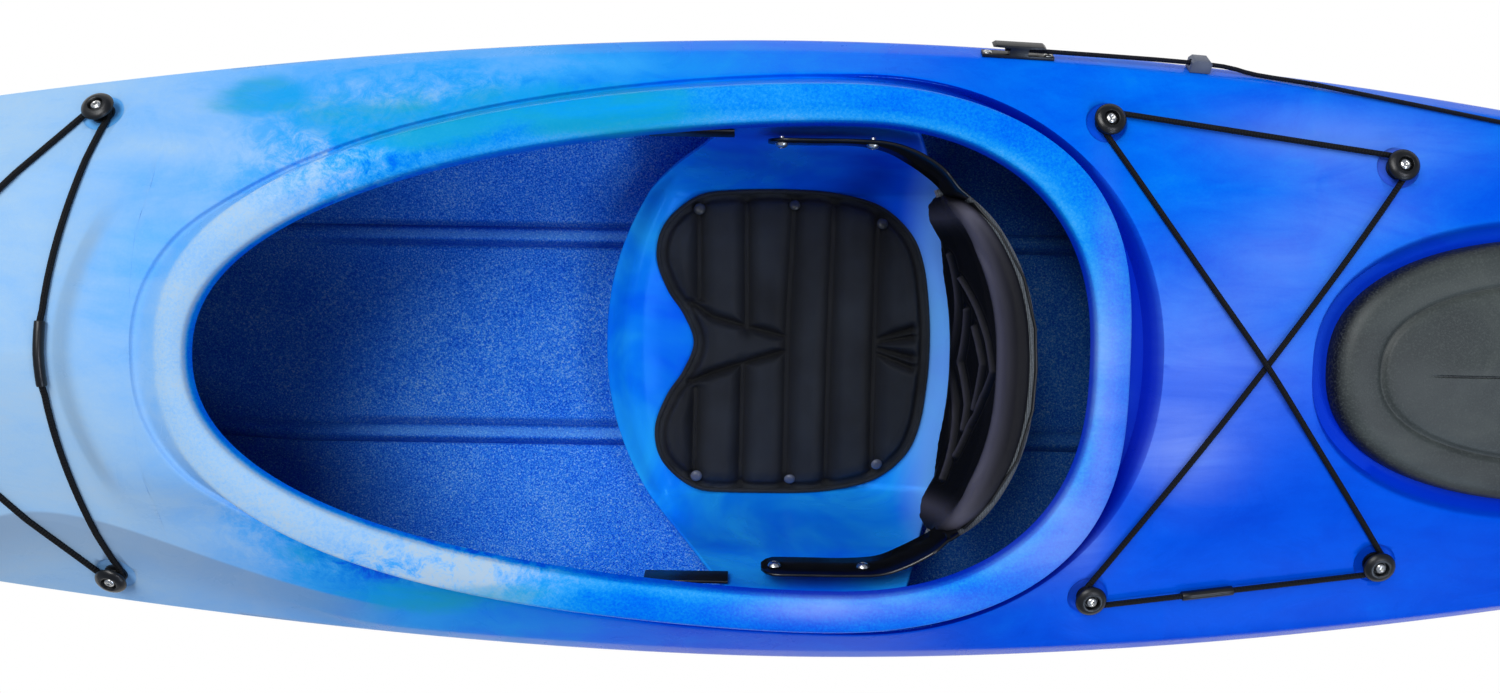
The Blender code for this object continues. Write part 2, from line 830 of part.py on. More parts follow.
def build_seat_pad():
    """Flat cushion that follows the pan: rings of the outline under and over each other."""
    half = [(x, PAN_HALF_WIDTH * share) for x, share in PAD_OUTLINE]
    outline = [*half, *[(x, -y) for x, y in reversed(half[1:-1])]]
    shares = (0.35, 0.70, 0.92, 1.0)
    under = []
    over = []
    for share in shares:
        ring = [(mix(PAD_CENTRE_X, x, share), y * share) for x, y in outline]
        bottoms = [seat_height(x, y) + 2.5 * GAP for x, y in ring]
        thickness = PAD_THICKNESS * (0.45 if share == 1.0 else 1.0)
        under.append([(x, y, z) for (x, y), z in zip(ring, bottoms)])
        over.append([(x, y, z + thickness) for (x, y), z in zip(ring, bottoms)])
    mesh = bmesh.new()
    verts = skin(mesh, [*under, *reversed(over)], close_columns=True)
    mesh.faces.new(verts[0])
    mesh.faces.new(list(reversed(verts[-1])))
    data = finish_mesh(mesh, "seat_pad")
    return add_object("seat_pad", data, BLACK_FABRIC)


pad = build_seat_pad()
pad_tree = BVHTree.FromObject(pad, bpy.context.evaluated_depsgraph_get())


def build_snaps():
    profile = (
        (0.0, SNAP_HEIGHT),
        (SNAP_RADIUS * 0.6, SNAP_HEIGHT * 0.85),
        (SNAP_RADIUS, SNAP_HEIGHT * 0.3),
        (SNAP_RADIUS, 0.0),
        (0.0, 0.0),
    )
    number = 0
    for side in (1, -1):
        for x, share in SNAP_PLACES:
            number += 1
            above = Vector((x, side * PAN_HALF_WIDTH * share, 1.0))
            down = Vector((0.0, 0.0, -1.0))
            point, normal, _, _ = pad_tree.ray_cast(above, down)
            lift = 0.0
            for k in range(8):
                angle = math.radians(45) * k
                spread = Vector((math.cos(angle), math.sin(angle), 0.0)) * SNAP_RADIUS * 1.1
                beside = pad_tree.ray_cast(above + spread, down)[0]
                if beside is not None:
                    lift = max(lift, (beside - point).dot(normal))
            place = frame_at(point + normal * (lift + GAP), normal)
            turned(f"seat_pad_snap_{number}", profile, BLACK_PLASTIC, place, steps=10)


build_snaps()


# Backrest and its arms


def backrest_section(y_share, front, back, low, high):
    """Upright section of the backrest between two offsets behind its front face."""
    y = BACKREST_SHIFT + BACKREST_HALF_WIDTH * y_share
    end = abs(y_share) ** 4
    height = BACKREST_HIGH - BACKREST_LOW
    bottom = BACKREST_LOW + height * (low + 0.22 * end)
    top = BACKREST_HIGH - height * (high + 0.10 * end)
    sweep = BACKREST_SWEEP * abs(y_share) ** 2.4

    def at(z, offset):
        lean = BACKREST_LEAN * (BACKREST_HIGH - z) / height
        return BACKREST_TOP_X - lean - sweep + offset, y, z

    middle = (bottom + top) / 2
    bulge = 0.3 * (back - front)
    return [
        at(bottom, front + bulge),
        at(middle, front),
        at(top, front + bulge),
        at(top, back),
        at(bottom, back),
    ]


def backrest_solid(name, front, back, low, high, width, finish):
    shares = (-1.0, -0.82, -0.55, -0.25, 0.0, 0.25, 0.55, 0.82, 1.0)
    rows = [backrest_section(s * width, front, back, low, high) for s in shares]
    return add_object(name, loft_solid(name, rows), finish)


PLATE_OFFSET = BACKREST_PAD + GAP
backrest_solid("backrest_pad", 0.0, BACKREST_PAD, 0.0, 0.0, 1.0, BLACK_FABRIC)
backrest_plate = backrest_solid(
    "backrest_plate",
    PLATE_OFFSET,
    PLATE_OFFSET + BACKREST_PLATE,
    0.02,
    -0.02,
    0.98,
    BLACK_PLASTIC,
)


def arm_section(x, y, direction, side):
    """Upright rectangle across the arm's run."""
    across = Vector((direction.y, -direction.x, 0.0)).normalized() * ARM_THICKNESS / 2
    low = ARM_MIDDLE_Z - ARM_HEIGHT / 2
    high = ARM_MIDDLE_Z + ARM_HEIGHT / 2
    corners = [(x - across.x, y - across.y, low), (x + across.x, y + across.y, low)]
    corners += [(x + across.x, y + across.y, high), (x - across.x, y - across.y, high)]
    return [(cx, side * cy, cz) for cx, cy, cz in corners]


def arm_plane():
    """Half width of the arms' middle plane where they lie on the wings."""
    low = ARM_MIDDLE_Z - ARM_HEIGHT / 2
    hits = []
    for x, way_in in ARM_ROUTE:
        start = Vector((x, PAN_HALF_WIDTH / 2, low))
        point = seat_tree.ray_cast(start, Vector((0.0, 1.0, 0.0)))[0]
        if point is not None and way_in == 0.0:
            hits.append(point.y)
    return min(hits) - GAP - ARM_THICKNESS / 2


ARM_PLANE = arm_plane()
ARM_END = BACKREST_HALF_WIDTH + ARM_CLEARANCE


def build_arm(side):
    route = [Vector((x, mix(ARM_PLANE, ARM_END, way_in))) for x, way_in in ARM_ROUTE]
    rows = []
    for i, point in enumerate(route):
        before = route[max(i - 1, 0)]
        after = route[min(i + 1, len(route) - 1)]
        share = 0.45 if i == 0 else 1.0
        section = arm_section(point.x, point.y, after - before, side)
        rows.append([(x, y, ARM_MIDDLE_Z + (z - ARM_MIDDLE_Z) * share) for x, y, z in section])
    name = f"backrest_arm_{side_name(side)}"
    obj = add_object(name, loft_solid(name, rows), BLACK_PLASTIC)
    return obj


arms = {side: build_arm(side) for side in (1, -1)}


def build_arm_bolts():
    """Domed bolts through the arms and the seat's wings."""
    head = 0.0065
    profile = (
        (0.0, 0.0045),
        (head * 0.7, 0.0034),
        (head, 0.0),
        (BOLT_RADIUS, 0.0),
        (BOLT_RADIUS, -0.0098),
        (0.0, -0.0098),
    )
    holes = []
    for side in (1, -1):
        for place, x in zip(("front", "rear"), ARM_BOLT_X):
            y = ARM_PLANE - ARM_THICKNESS / 2 - GAP
            origin = Vector((x, side * y, ARM_MIDDLE_Z))
            matrix = frame_at(origin, (0.0, -side, 0.0))
            turned(f"arm_bolt_{side_name(side)}_{place}", profile, STAINLESS, matrix, steps=10)
            holes.append((matrix, BOLT_RADIUS + 2 * GAP, 0.03))
    cutter = cutter_object("arm bolt holes", holes)
    cut(seat, cutter)
    for side in (1, -1):
        cut(arms[side], cutter)


build_arm_bolts()


def rim_underside(x, y):
    """Height of the lowest edge of the rim's lip over a place."""
    start = Vector((x, y, RIM_TOP_SIDE - RIM_LIP - 0.02))
    hit = hull_tree.ray_cast(start, Vector((0.0, 0.0, 1.0)))[0]
    return hit.z if hit is not None else RIM_TOP_SIDE


def build_hangers():
    """Flat straps under the rim, just ahead of the wings."""
    for side in (1, -1):
        name = f"seat_hanger_{side_name(side)}"
        edges = (HANGER_Y - HANGER_THICKNESS / 2, HANGER_Y + HANGER_THICKNESS / 2)
        top = min(
            rim_underside(x, side * y)
            for x in (HANGER_FRONT, 0.0, HANGER_REAR)
            for y in (*edges, HANGER_Y)
        ) - GAP
        mesh = bmesh.new()
        bmesh.ops.create_cube(mesh, size=1.0)
        size = (HANGER_REAR - HANGER_FRONT, HANGER_THICKNESS, HANGER_HEIGHT)
        bmesh.ops.scale(mesh, vec=size, verts=mesh.verts)
        data = finish_mesh(mesh, name)
        middle = ((HANGER_FRONT + HANGER_REAR) / 2, side * HANGER_Y, top - HANGER_HEIGHT / 2)
        add_object(name, data, BLACK_PLASTIC, Matrix.Translation(middle), smooth=False)


build_hangers()


LEAN_SLOPE = BACKREST_LEAN / (BACKREST_HIGH - BACKREST_LOW)


def pivot_section(y_share, offset):
    """Place along X of the back face of the backrest plate, at the height of the arms."""
    lean = LEAN_SLOPE * (BACKREST_HIGH - ARM_MIDDLE_Z)
    sweep = BACKREST_SWEEP * abs(y_share) ** 2.4
    return BACKREST_TOP_X - lean - sweep + PLATE_OFFSET + BACKREST_PLATE + offset


PIVOT_SHARES = (0.90, 0.97)
PIVOT_X = pivot_section(PIVOT_SHARES[0], PIVOT_BLOCK / 2 + 2 * GAP)


def build_backrest_pivots():
    """Blocks on the backrest plate, each with a round stud through the end of an arm."""
    holes = []
    for side in (1, -1):
        rows = []
        for share in PIVOT_SHARES:
            y = BACKREST_SHIFT + BACKREST_HALF_WIDTH * 0.98 * side * share
            front = pivot_section(0.98 * share, GAP)
            back = PIVOT_X + PIVOT_BLOCK / 2
            down, up = PIVOT_HEIGHT
            low = front - down * LEAN_SLOPE, y, ARM_MIDDLE_Z - down
            high = front + up * LEAN_SLOPE, y, ARM_MIDDLE_Z + up
            rows.append([low, (back, y, low[2]), (back, y, high[2]), high])
        name = f"backrest_pivot_{side_name(side)}"
        block = add_object(name, loft_solid(name, rows), BLACK_PLASTIC, smooth=False)
        start = rows[0][0][1] + side * 0.004
        end = side * (ARM_END + ARM_THICKNESS / 2 + 0.004)
        centre = Vector((PIVOT_X, (start + end) / 2, ARM_MIDDLE_Z))
        length = abs(end - start)
        across = frame_at(centre, (0.0, 1.0, 0.0))
        stud = cutter_object(f"pivot stud {side_name(side)}", [(across, PIVOT_STUD, length)])
        join(block, stud)
        hole_centre = Vector((PIVOT_X, side * ARM_END, ARM_MIDDLE_Z))
        holes.append((frame_at(hole_centre, (0.0, 1.0, 0.0)), PIVOT_STUD + 2 * GAP, 0.02))
    cutter = cutter_object("pivot holes", holes)
    for side in (1, -1):
        cut(arms[side], cutter)


build_backrest_pivots()


# Hatch cover


def hatch_ring(inset, height):
    half = oval_points(hatch_oval(inset), HATCH_SEGMENTS)
    ring = [(x, y, height) for x, y in half]
    return ring + [(x, -y, height) for x, y in reversed(half[1:-1])]


def build_hatch_cover():
    """Stretch-on cover: a skirt over the rim, a soft shoulder, a groove and a raised panel."""
    floor = HATCH_FLOOR + GAP
    rim_top_z = HATCH_FLOOR + HATCH_RIM_HEIGHT
    inside = HATCH_RIM_INSET - 2 * GAP
    top = floor + HATCH_HEIGHT
    rows = [
        hatch_ring(inside, floor),
        hatch_ring(0.0, floor),
        hatch_ring(-0.0005, floor + 0.008),
        hatch_ring(0.006, top - 0.006),
        hatch_ring(0.018, top),
        hatch_ring(HATCH_PANEL_INSET - 0.006, top + 0.001),
        hatch_ring(HATCH_PANEL_INSET, top - 0.003),
        hatch_ring(HATCH_PANEL_INSET + 0.005, top + 0.001),
        hatch_ring(0.090, top + 0.006),
        hatch_ring(0.122, top + HATCH_DOME),
    ]
    under = [
        hatch_ring(0.122, rim_top_z + GAP),
        hatch_ring(inside, rim_top_z + GAP),
    ]
    mesh = bmesh.new()
    verts = skin(mesh, rows, close_columns=True)
    mesh.faces.new(list(reversed(verts[-1])))
    lower = skin(mesh, under, close_columns=True)
    mesh.faces.new(lower[0])
    skin(mesh, [under[-1], rows[0]], close_columns=True)
    data = finish_mesh(mesh, "hatch_cover")
    return add_object("hatch_cover", data, HATCH_RUBBER)


build_hatch_cover()


# Deck knobs, their screws and the deck cords


def knob_places():
    places = {}
    for name, x, y in KNOB_PAIRS:
        for side in (1, -1):
            normal = deck_normal_at(x, side * y)
            surface = drop_on_deck(x, side * y)
            origin = surface - normal * KNOB_POCKET_DEPTH
            places[name, side] = frame_at(origin, normal)
    return places


def deck_normal_at(x, y, step=0.012):
    """Normal of the real deck, from the points round a place."""
    along = drop_on_deck(x + step, y) - drop_on_deck(x - step, y)
    across = drop_on_deck(x, y + step) - drop_on_deck(x, y - step)
    return along.cross(across).normalized()


def pocket_cutter(places):
    """Discs that flatten the deck under each knob."""
    mesh = bmesh.new()
    depth = 0.04
    for matrix in places:
        bmesh.ops.create_cone(
            mesh,
            cap_ends=True,
            segments=12,
            radius1=KNOB_POCKET_RADIUS,
            radius2=KNOB_POCKET_RADIUS,
            depth=depth,
            matrix=matrix @ Matrix.Translation((0.0, 0.0, depth / 2)),
        )
    data = bpy.data.meshes.new("knob pockets")
    mesh.to_mesh(data)
    mesh.free()
    obj = bpy.data.objects.new("knob pockets", data)
    CUTTERS.objects.link(obj)
    obj.hide_render = True
    obj.display_type = "WIRE"
    return obj


def build_knobs():
    places = knob_places()
    knob_profile = (
        (SCREW_HOLE, 0.0125),
        (0.0068, 0.0125),
        (0.0075, 0.0158),
        (0.0118, 0.0148),
        (KNOB_RADIUS, 0.0114),
        (KNOB_RADIUS - 0.0006, 0.0102),
        (KNOB_NECK, 0.0099),
        (KNOB_NECK, 0.0026),
        (0.0110, 0.0024),
        (0.0112, 0.0),
        (SCREW_HOLE, 0.0),
    )
    screw_profile = (
        (0.0, 0.0155),
        (0.0040, 0.0150),
        (0.0055, 0.0136),
        (0.0055, 0.0125 + GAP),
        (SCREW_RADIUS, 0.0125 + GAP),
        (SCREW_RADIUS, -SCREW_REACH),
        (0.0, -SCREW_REACH),
    )
    up = Matrix.Translation((0.0, 0.0, GAP))
    for (name, side), place in places.items():
        label = f"{name}_{side_name(side)}"
        turned(f"deck_knob_{label}", knob_profile, BLACK_PLASTIC, place @ up, closed=True, steps=8)
        turned(f"deck_knob_screw_{label}", screw_profile, STAINLESS, place @ up, steps=8)
    cut(hull, pocket_cutter(places.values()))
    cut(hull, cutter_object("knob holes", [(m, SCREW_HOLE, 0.04) for m in places.values()]))
    return places


knobs = build_knobs()


def wrap_route(stops, radius):
    """Closed plan route round the stops (centre, turning side); side 1 turns to the right."""
    count = len(stops)
    legs = []
    for i in range(count):
        (start, first), (end, second) = stops[i], stops[(i + 1) % count]
        line = end - start
        heading = math.atan2(line.y, line.x) + math.asin((second - first) * radius / line.length)
        left = Vector((-math.sin(heading), math.cos(heading)))
        legs.append((start + left * first * radius, end + left * second * radius))
    route = []
    for i in range(count):
        centre, side = stops[i]
        arrive = legs[i - 1][1] - centre
        leave = legs[i][0] - centre
        start = math.atan2(arrive.y, arrive.x)
        turn = math.atan2(leave.y, leave.x) - start
        turn = -((-turn) % (2 * math.pi)) if side > 0 else turn % (2 * math.pi)
        steps = max(2, math.ceil(abs(turn) / WRAP_STEP))
        arc = []
        for k in range(steps + 1):
            angle = start + turn * k / steps
            arc.append(centre + Vector((math.cos(angle), math.sin(angle))) * radius)
        route.append((arc, legs[i][1]))
    return route


def groove_point(place, plan):
    """Point of a knob's groove above a plan position."""
    normal = place.to_3x3() @ Vector((0.0, 0.0, 1.0))
    centre = place @ Vector((0.0, 0.0, KNOB_GROOVE_Z + GAP))
    drop = normal.x * (plan.x - centre.x) + normal.y * (plan.y - centre.y)
    return Vector((plan.x, plan.y, centre.z - drop / normal.z))


def leg_shares(length, fixed):
    """Shares of a leg at about one cord step; between two fixed shares the cord is straight."""
    marks = [0.0, *fixed, 1.0]
    shares = []
    for first, second in zip(marks, marks[1:]):
        straight = len(fixed) == 2 and first == fixed[0]
        count = 1 if straight else max(1, round((second - first) * length / CORD_STEP))
        shares.extend(mix(first, second, k / count) for k in range(count))
    return shares[1:]


def keep_clear(points, radius, closed, thick_at=None, thicker=0.0):
    """Moves the ends of every run that comes too close to the deck away from it."""
    following = [*points[1:], points[0]] if closed else points[1:]
    for _ in range(5):
        for first, second in zip(points, following):
            need = radius + 2 * GAP + (thicker if first is thick_at else 0.0)
            for share in (0.2, 0.4, 0.6, 0.8):
                p = first.lerp(second, share)
                foot, normal, _, _ = hull_tree.find_nearest(p)
                short = need - (p - foot).dot(normal)
                if short > 0.0:
                    first += normal * short
                    second += normal * short


def deck_cord(stops, splice, over, bow):
    """Points of a closed deck cord: arcs in the knobs' grooves and taut runs between them."""
    radius = (KNOB_NECK + BUNGEE_RADIUS) / math.cos(WRAP_STEP / 2) + 2 * GAP
    places = [knobs[key] for key, _ in stops]
    groove = Vector((0.0, 0.0, KNOB_GROOVE_Z + GAP))
    plan = [((place @ groove).xy, side) for place, (_, side) in zip(places, stops)]
    points = []
    sleeve = []
    for i, (arc, arrive) in enumerate(wrap_route(plan, radius)):
        points.extend(groove_point(places[i], p) for p in arc)
        start = points[-1]
        end = groove_point(places[(i + 1) % len(stops)], arrive)
        run = (end - start).length
        fixed = []
        if i == splice[0]:
            half = (SPLICE_LENGTH / 2 + 0.003) / run
            fixed = [splice[1] - half, splice[1] + half]
        if i == over:
            fixed = [start.y / (start.y - end.y)]
        for share in leg_shares(run, fixed):
            p = start.lerp(end, share)
            thick = BUNGEE_RADIUS
            if i == splice[0]:
                p.x += bow * math.sin(math.pi * share)
                if share in fixed:
                    thick += SPLICE_WALL
            p.z = max(p.z, drop_on_deck(p.x, p.y).z + thick + 2 * GAP)
            if i == over:
                p.z += CROSSING_LIFT * math.exp(-((p.y / CROSSING_SPREAD) ** 2))
            points.append(p)
            if i == splice[0] and share in fixed:
                sleeve.append(p)
    keep_clear(points, BUNGEE_RADIUS, True, sleeve[0], SPLICE_WALL)
    return points, sleeve


def build_deck_cord(name, stops, splice, over, bow=0.0):
    points, sleeve = deck_cord(stops, splice, over, bow)
    obj = cord(name, points, BUNGEE_RADIUS, CORD_BLACK)
    obj.data.splines[0].use_cyclic_u = True
    middle = (sleeve[0] + sleeve[1]) / 2
    matrix = frame_at(middle, sleeve[1] - sleeve[0], (0.0, 0.0, 1.0))
    inner = BUNGEE_RADIUS + GAP
    outer = inner + SPLICE_WALL - GAP
    half = SPLICE_LENGTH / 2
    profile = (
        (inner, half),
        (outer - 0.0005, half),
        (outer, half - 0.001),
        (outer, 0.001 - half),
        (outer - 0.0005, -half),
        (inner, -half),
    )
    turned(f"{name}_splice", profile, BLACK_PLASTIC, matrix, closed=True, steps=10)


REAR_STOPS = (
    (("middle", 1), 1),
    (("rear", 1), 1),
    (("middle", -1), -1),
    (("rear", -1), -1),
)
FRONT_STOPS = (
    (("front", 1), 1),
    (("front", -1), 1),
    (("bow", 1), -1),
    (("bow", -1), -1),
)
build_deck_cord("rear_deck_cord", REAR_STOPS, (2, REAR_SPLICE_SHARE), 3)
build_deck_cord("front_deck_cord", FRONT_STOPS, (0, FRONT_SPLICE_SHARE), 3, COWL_PUSH)


# Skeg line, its cleat and its guide


def gunwale_place(x, share, lift=0.0, step=0.01):
    """Point on the sloped band between the sheer and the deck crease, and its normal."""
    def at(station):
        width, edge = deck_edge(station)
        low = Vector((station, half_beam(station), sheer_height(station)))
        return low.lerp(Vector((station, width, edge)), share)

    along = at(x + step) - at(x - step)
    width, edge = deck_edge(x)
    across = Vector((0.0, width - half_beam(x), edge - sheer_height(x)))
    normal = across.cross(along).normalized()
    outside = at(x) + normal * 0.05
    point = hull_tree.ray_cast(outside, -normal)[0]
    return point + normal * lift, normal


def extruded(name, outline, width, finish, matrix):
    """Prism across local Y from an outline in local X and Z."""
    rows = [[(x, y, z) for x, z in outline] for y in (-width / 2, width / 2)]
    return add_object(name, loft_solid(name, rows), finish, matrix, smooth=False)


cleat_foot, cleat_up = gunwale_place(CLEAT_X, CLEAT_SHARE, 2 * GAP)
guide_foot, guide_up = gunwale_place(GUIDE_X, GUIDE_SHARE, 2 * GAP)
line_start = cleat_foot + cleat_up * LINE_LIFT
guide_middle = guide_foot + guide_up * LINE_LIFT
LINE_RUN = (guide_middle - line_start).normalized()


def build_cleat():
    """Low horn cleat: a base with a screw at each end, a post and a bar over it."""
    place = frame_at(cleat_foot, cleat_up, LINE_RUN)
    half = CLEAT_LENGTH / 2
    bar = CLEAT_BAR / 2
    post = CLEAT_POST / 2
    outline = (
        (-half, 0.0),
        (half, 0.0),
        (half, CLEAT_BASE),
        (post, CLEAT_BASE),
        (post, CLEAT_BAR_LOW),
        (bar, CLEAT_BAR_LOW + 0.0008),
        (bar - 0.003, CLEAT_HEIGHT),
        (-bar + 0.003, CLEAT_HEIGHT),
        (-bar, CLEAT_BAR_LOW + 0.0008),
        (-post, CLEAT_BAR_LOW),
        (-post, CLEAT_BASE),
        (-half, CLEAT_BASE),
    )
    cleat = extruded("skeg_cleat", outline, CLEAT_WIDTH, BLACK_PLASTIC, place)
    top = CLEAT_BASE + GAP
    profile = (
        (0.0, top + 0.0009),
        (0.0036, top + 0.0006),
        (0.0040, top),
        (SCREW_RADIUS, top),
        (SCREW_RADIUS, -SCREW_REACH),
        (0.0, -SCREW_REACH),
    )
    holes = []
    for label, x in (("front", -CLEAT_SCREW_X), ("rear", CLEAT_SCREW_X)):
        spot = place @ Matrix.Translation((x, 0.0, 0.0))
        turned(f"skeg_cleat_screw_{label}", profile, STAINLESS, spot, steps=8)
        holes.append((spot, SCREW_HOLE, 0.04))
    drill = cutter_object("cleat holes", holes)
    cut(cleat, cutter_object("cleat base holes", [(m, r, 0.015) for m, r, _ in holes]))
    cut(hull, drill)
    run = frame_at(line_start, LINE_RUN, (0.0, 0.0, 1.0))
    cut(cleat, cutter_object("cleat throat", [(run, LINE_RADIUS + 2 * GAP, 0.04)]))


def build_guide():
    place = frame_at(guide_foot, guide_up, LINE_RUN)
    half = GUIDE_LENGTH / 2
    outline = (
        (-half, 0.0),
        (half, 0.0),
        (half, GUIDE_HEIGHT - 0.003),
        (half - 0.003, GUIDE_HEIGHT),
        (-half + 0.003, GUIDE_HEIGHT),
        (-half, GUIDE_HEIGHT - 0.003),
    )
    guide = extruded("skeg_line_guide", outline, GUIDE_WIDTH, BLACK_PLASTIC, place)
    run = frame_at(guide_middle, (line_aft - line_start), (0.0, 0.0, 1.0))
    cut(guide, cutter_object("guide hole", [(run, GUIDE_HOLE, 0.05)]))


def line_point(x, y):
    return Vector((x, y, drop_on_deck(x, y).z + LINE_RADIUS + 4 * GAP))


line_aft = line_point(GUIDE_X + 0.05, guide_middle.y - 0.05 * 0.19)


def build_skeg_line():
    """Taut line from the cleat through its guide and aft to the skeg."""
    points = [line_start - LINE_RUN * (CLEAT_POST / 2 + 0.004)]
    run = (guide_middle - line_start).length
    count = round(run / LINE_STEP)
    points.extend(line_start + LINE_RUN * run * k / count for k in range(count + 1))
    plan = [Vector((GUIDE_X, guide_middle.y)), *[Vector(p) for p in LINE_PLAN]]
    for start, end in zip(plan, plan[1:]):
        count = round((end - start).length / LINE_STEP)
        for k in range(1, count + 1):
            p = start.lerp(end, k / count)
            points.append(line_point(p.x, p.y))
    keep_clear(points[3:], LINE_RADIUS, False)
    hole = line_point(*LINE_ENTRY)
    points.append(hole - Vector((0.002, 0.0, -0.001)))
    points.append(hole - Vector((0.0, 0.0, 0.006)))
    points.append(hole - Vector((0.0, 0.0, 0.020)))
    points.append(Vector((SKEG_TOP_X, 0.025, SKEG_TOP_Z + 0.045)))
    points.append(Vector((SKEG_TOP_X, 0.004, SKEG_TOP_Z + 0.020)))
    points.append(Vector((SKEG_TOP_X, 0.0, SKEG_TOP_Z + 2 * GAP)))
    cord("skeg_line", points, LINE_RADIUS, CORD_BLACK)
    cut(hull, cutter_object("line entry", [(Matrix.Translation(hole), LINE_RADIUS + 0.001, 0.05)]))


# Skeg box and blade


def box_mesh(low, high):
    mesh = bmesh.new()
    bmesh.ops.create_cube(mesh, size=1.0)
    size = [b - a for a, b in zip(low, high)]
    middle = [(a + b) / 2 for a, b in zip(low, high)]
    bmesh.ops.scale(mesh, vec=size, verts=mesh.verts)
    bmesh.ops.translate(mesh, vec=middle, verts=mesh.verts)
    return mesh


def box_cutter(name, low, high, matrix=None):
    obj = bpy.data.objects.new(name, finish_mesh(box_mesh(low, high), name))
    CUTTERS.objects.link(obj)
    obj.hide_render = True
    obj.display_type = "WIRE"
    if matrix is not None:
        obj.matrix_world = matrix
    return obj


SKEG_REAR = SKEG_FRONT + SKEG_LENGTH
SKEG_KEEL = keel_height(SKEG_FRONT)
SKEG_TOP_Z = SKEG_KEEL + SKEG_BOX_HEIGHT
SKEG_TOP_X = SKEG_FRONT + 0.08
SKEG_HINGE = Vector((SKEG_FRONT + SKEG_PIVOT_INSET, 0.0, SKEG_KEEL + SKEG_PIVOT_LIFT))


def build_skeg_box():
    """Narrow box on the inner floor over a slot in the keel."""
    slot = SKEG_THICKNESS / 2 + SKEG_SIDE_GAP
    outer = slot + SKEG_BOX_WALL
    front = SKEG_FRONT - SKEG_BOX_WALL
    rear = SKEG_REAR + SKEG_BOX_WALL
    stations = (front, LENGTH / 2 - STERN_STATIONS[1], rear)
    rows = []
    for x in stations:
        low = floor_under(x, outer, 0.2).z + 2 * GAP
        rows.append([(x, -outer, low), (x, outer, low), (x, outer, SKEG_TOP_Z), (x, -outer, SKEG_TOP_Z)])
    box = add_object("skeg_box", loft_solid("skeg_box", rows), BLACK_PLASTIC, smooth=False)
    low = (SKEG_FRONT, -slot, -0.02)
    high = (SKEG_REAR, slot, SKEG_TOP_Z - SKEG_BOX_WALL)
    opening = box_cutter("skeg slot", low, high)
    cut(box, opening)
    cut(hull, opening)
    across = frame_at(SKEG_HINGE, (0.0, 1.0, 0.0))
    cut(box, cutter_object("skeg pivot hole", [(across, SKEG_TRUNNION_RADIUS + 3 * GAP, 0.04)]))


def build_skeg_blade():
    """Flat blade with a rounded nose and two trunnions, swept back inside its box."""
    nose = [
        (SKEG_HINGE.x + SKEG_NOSE * math.cos(a), SKEG_HINGE.z + SKEG_NOSE * math.sin(a))
        for a in (math.radians(d) for d in (250, 215, 180, 145, 110))
    ]
    tail = SKEG_REAR - 0.008
    outline = [
        (tail - 0.030, SKEG_KEEL + 0.020),
        *nose,
        (SKEG_HINGE.x + 0.060, SKEG_TOP_Z - 0.020),
        (tail - 0.012, SKEG_TOP_Z - 0.012),
        (tail, SKEG_TOP_Z - 0.024),
    ]
    outline = [(x - SKEG_HINGE.x, z - SKEG_HINGE.z) for x, z in outline]
    place = Matrix.Translation(SKEG_HINGE)
    blade = extruded("skeg_blade", outline, SKEG_THICKNESS, BLACK_PLASTIC, place)
    across = frame_at(SKEG_HINGE, (0.0, 1.0, 0.0))
    reach = 2 * SKEG_TRUNNION_REACH
    join(blade, cutter_object("skeg trunnions", [(across, SKEG_TRUNNION_RADIUS, reach)]))


build_cleat()
build_guide()
build_skeg_line()
build_skeg_box()
build_skeg_blade()


# Foot braces


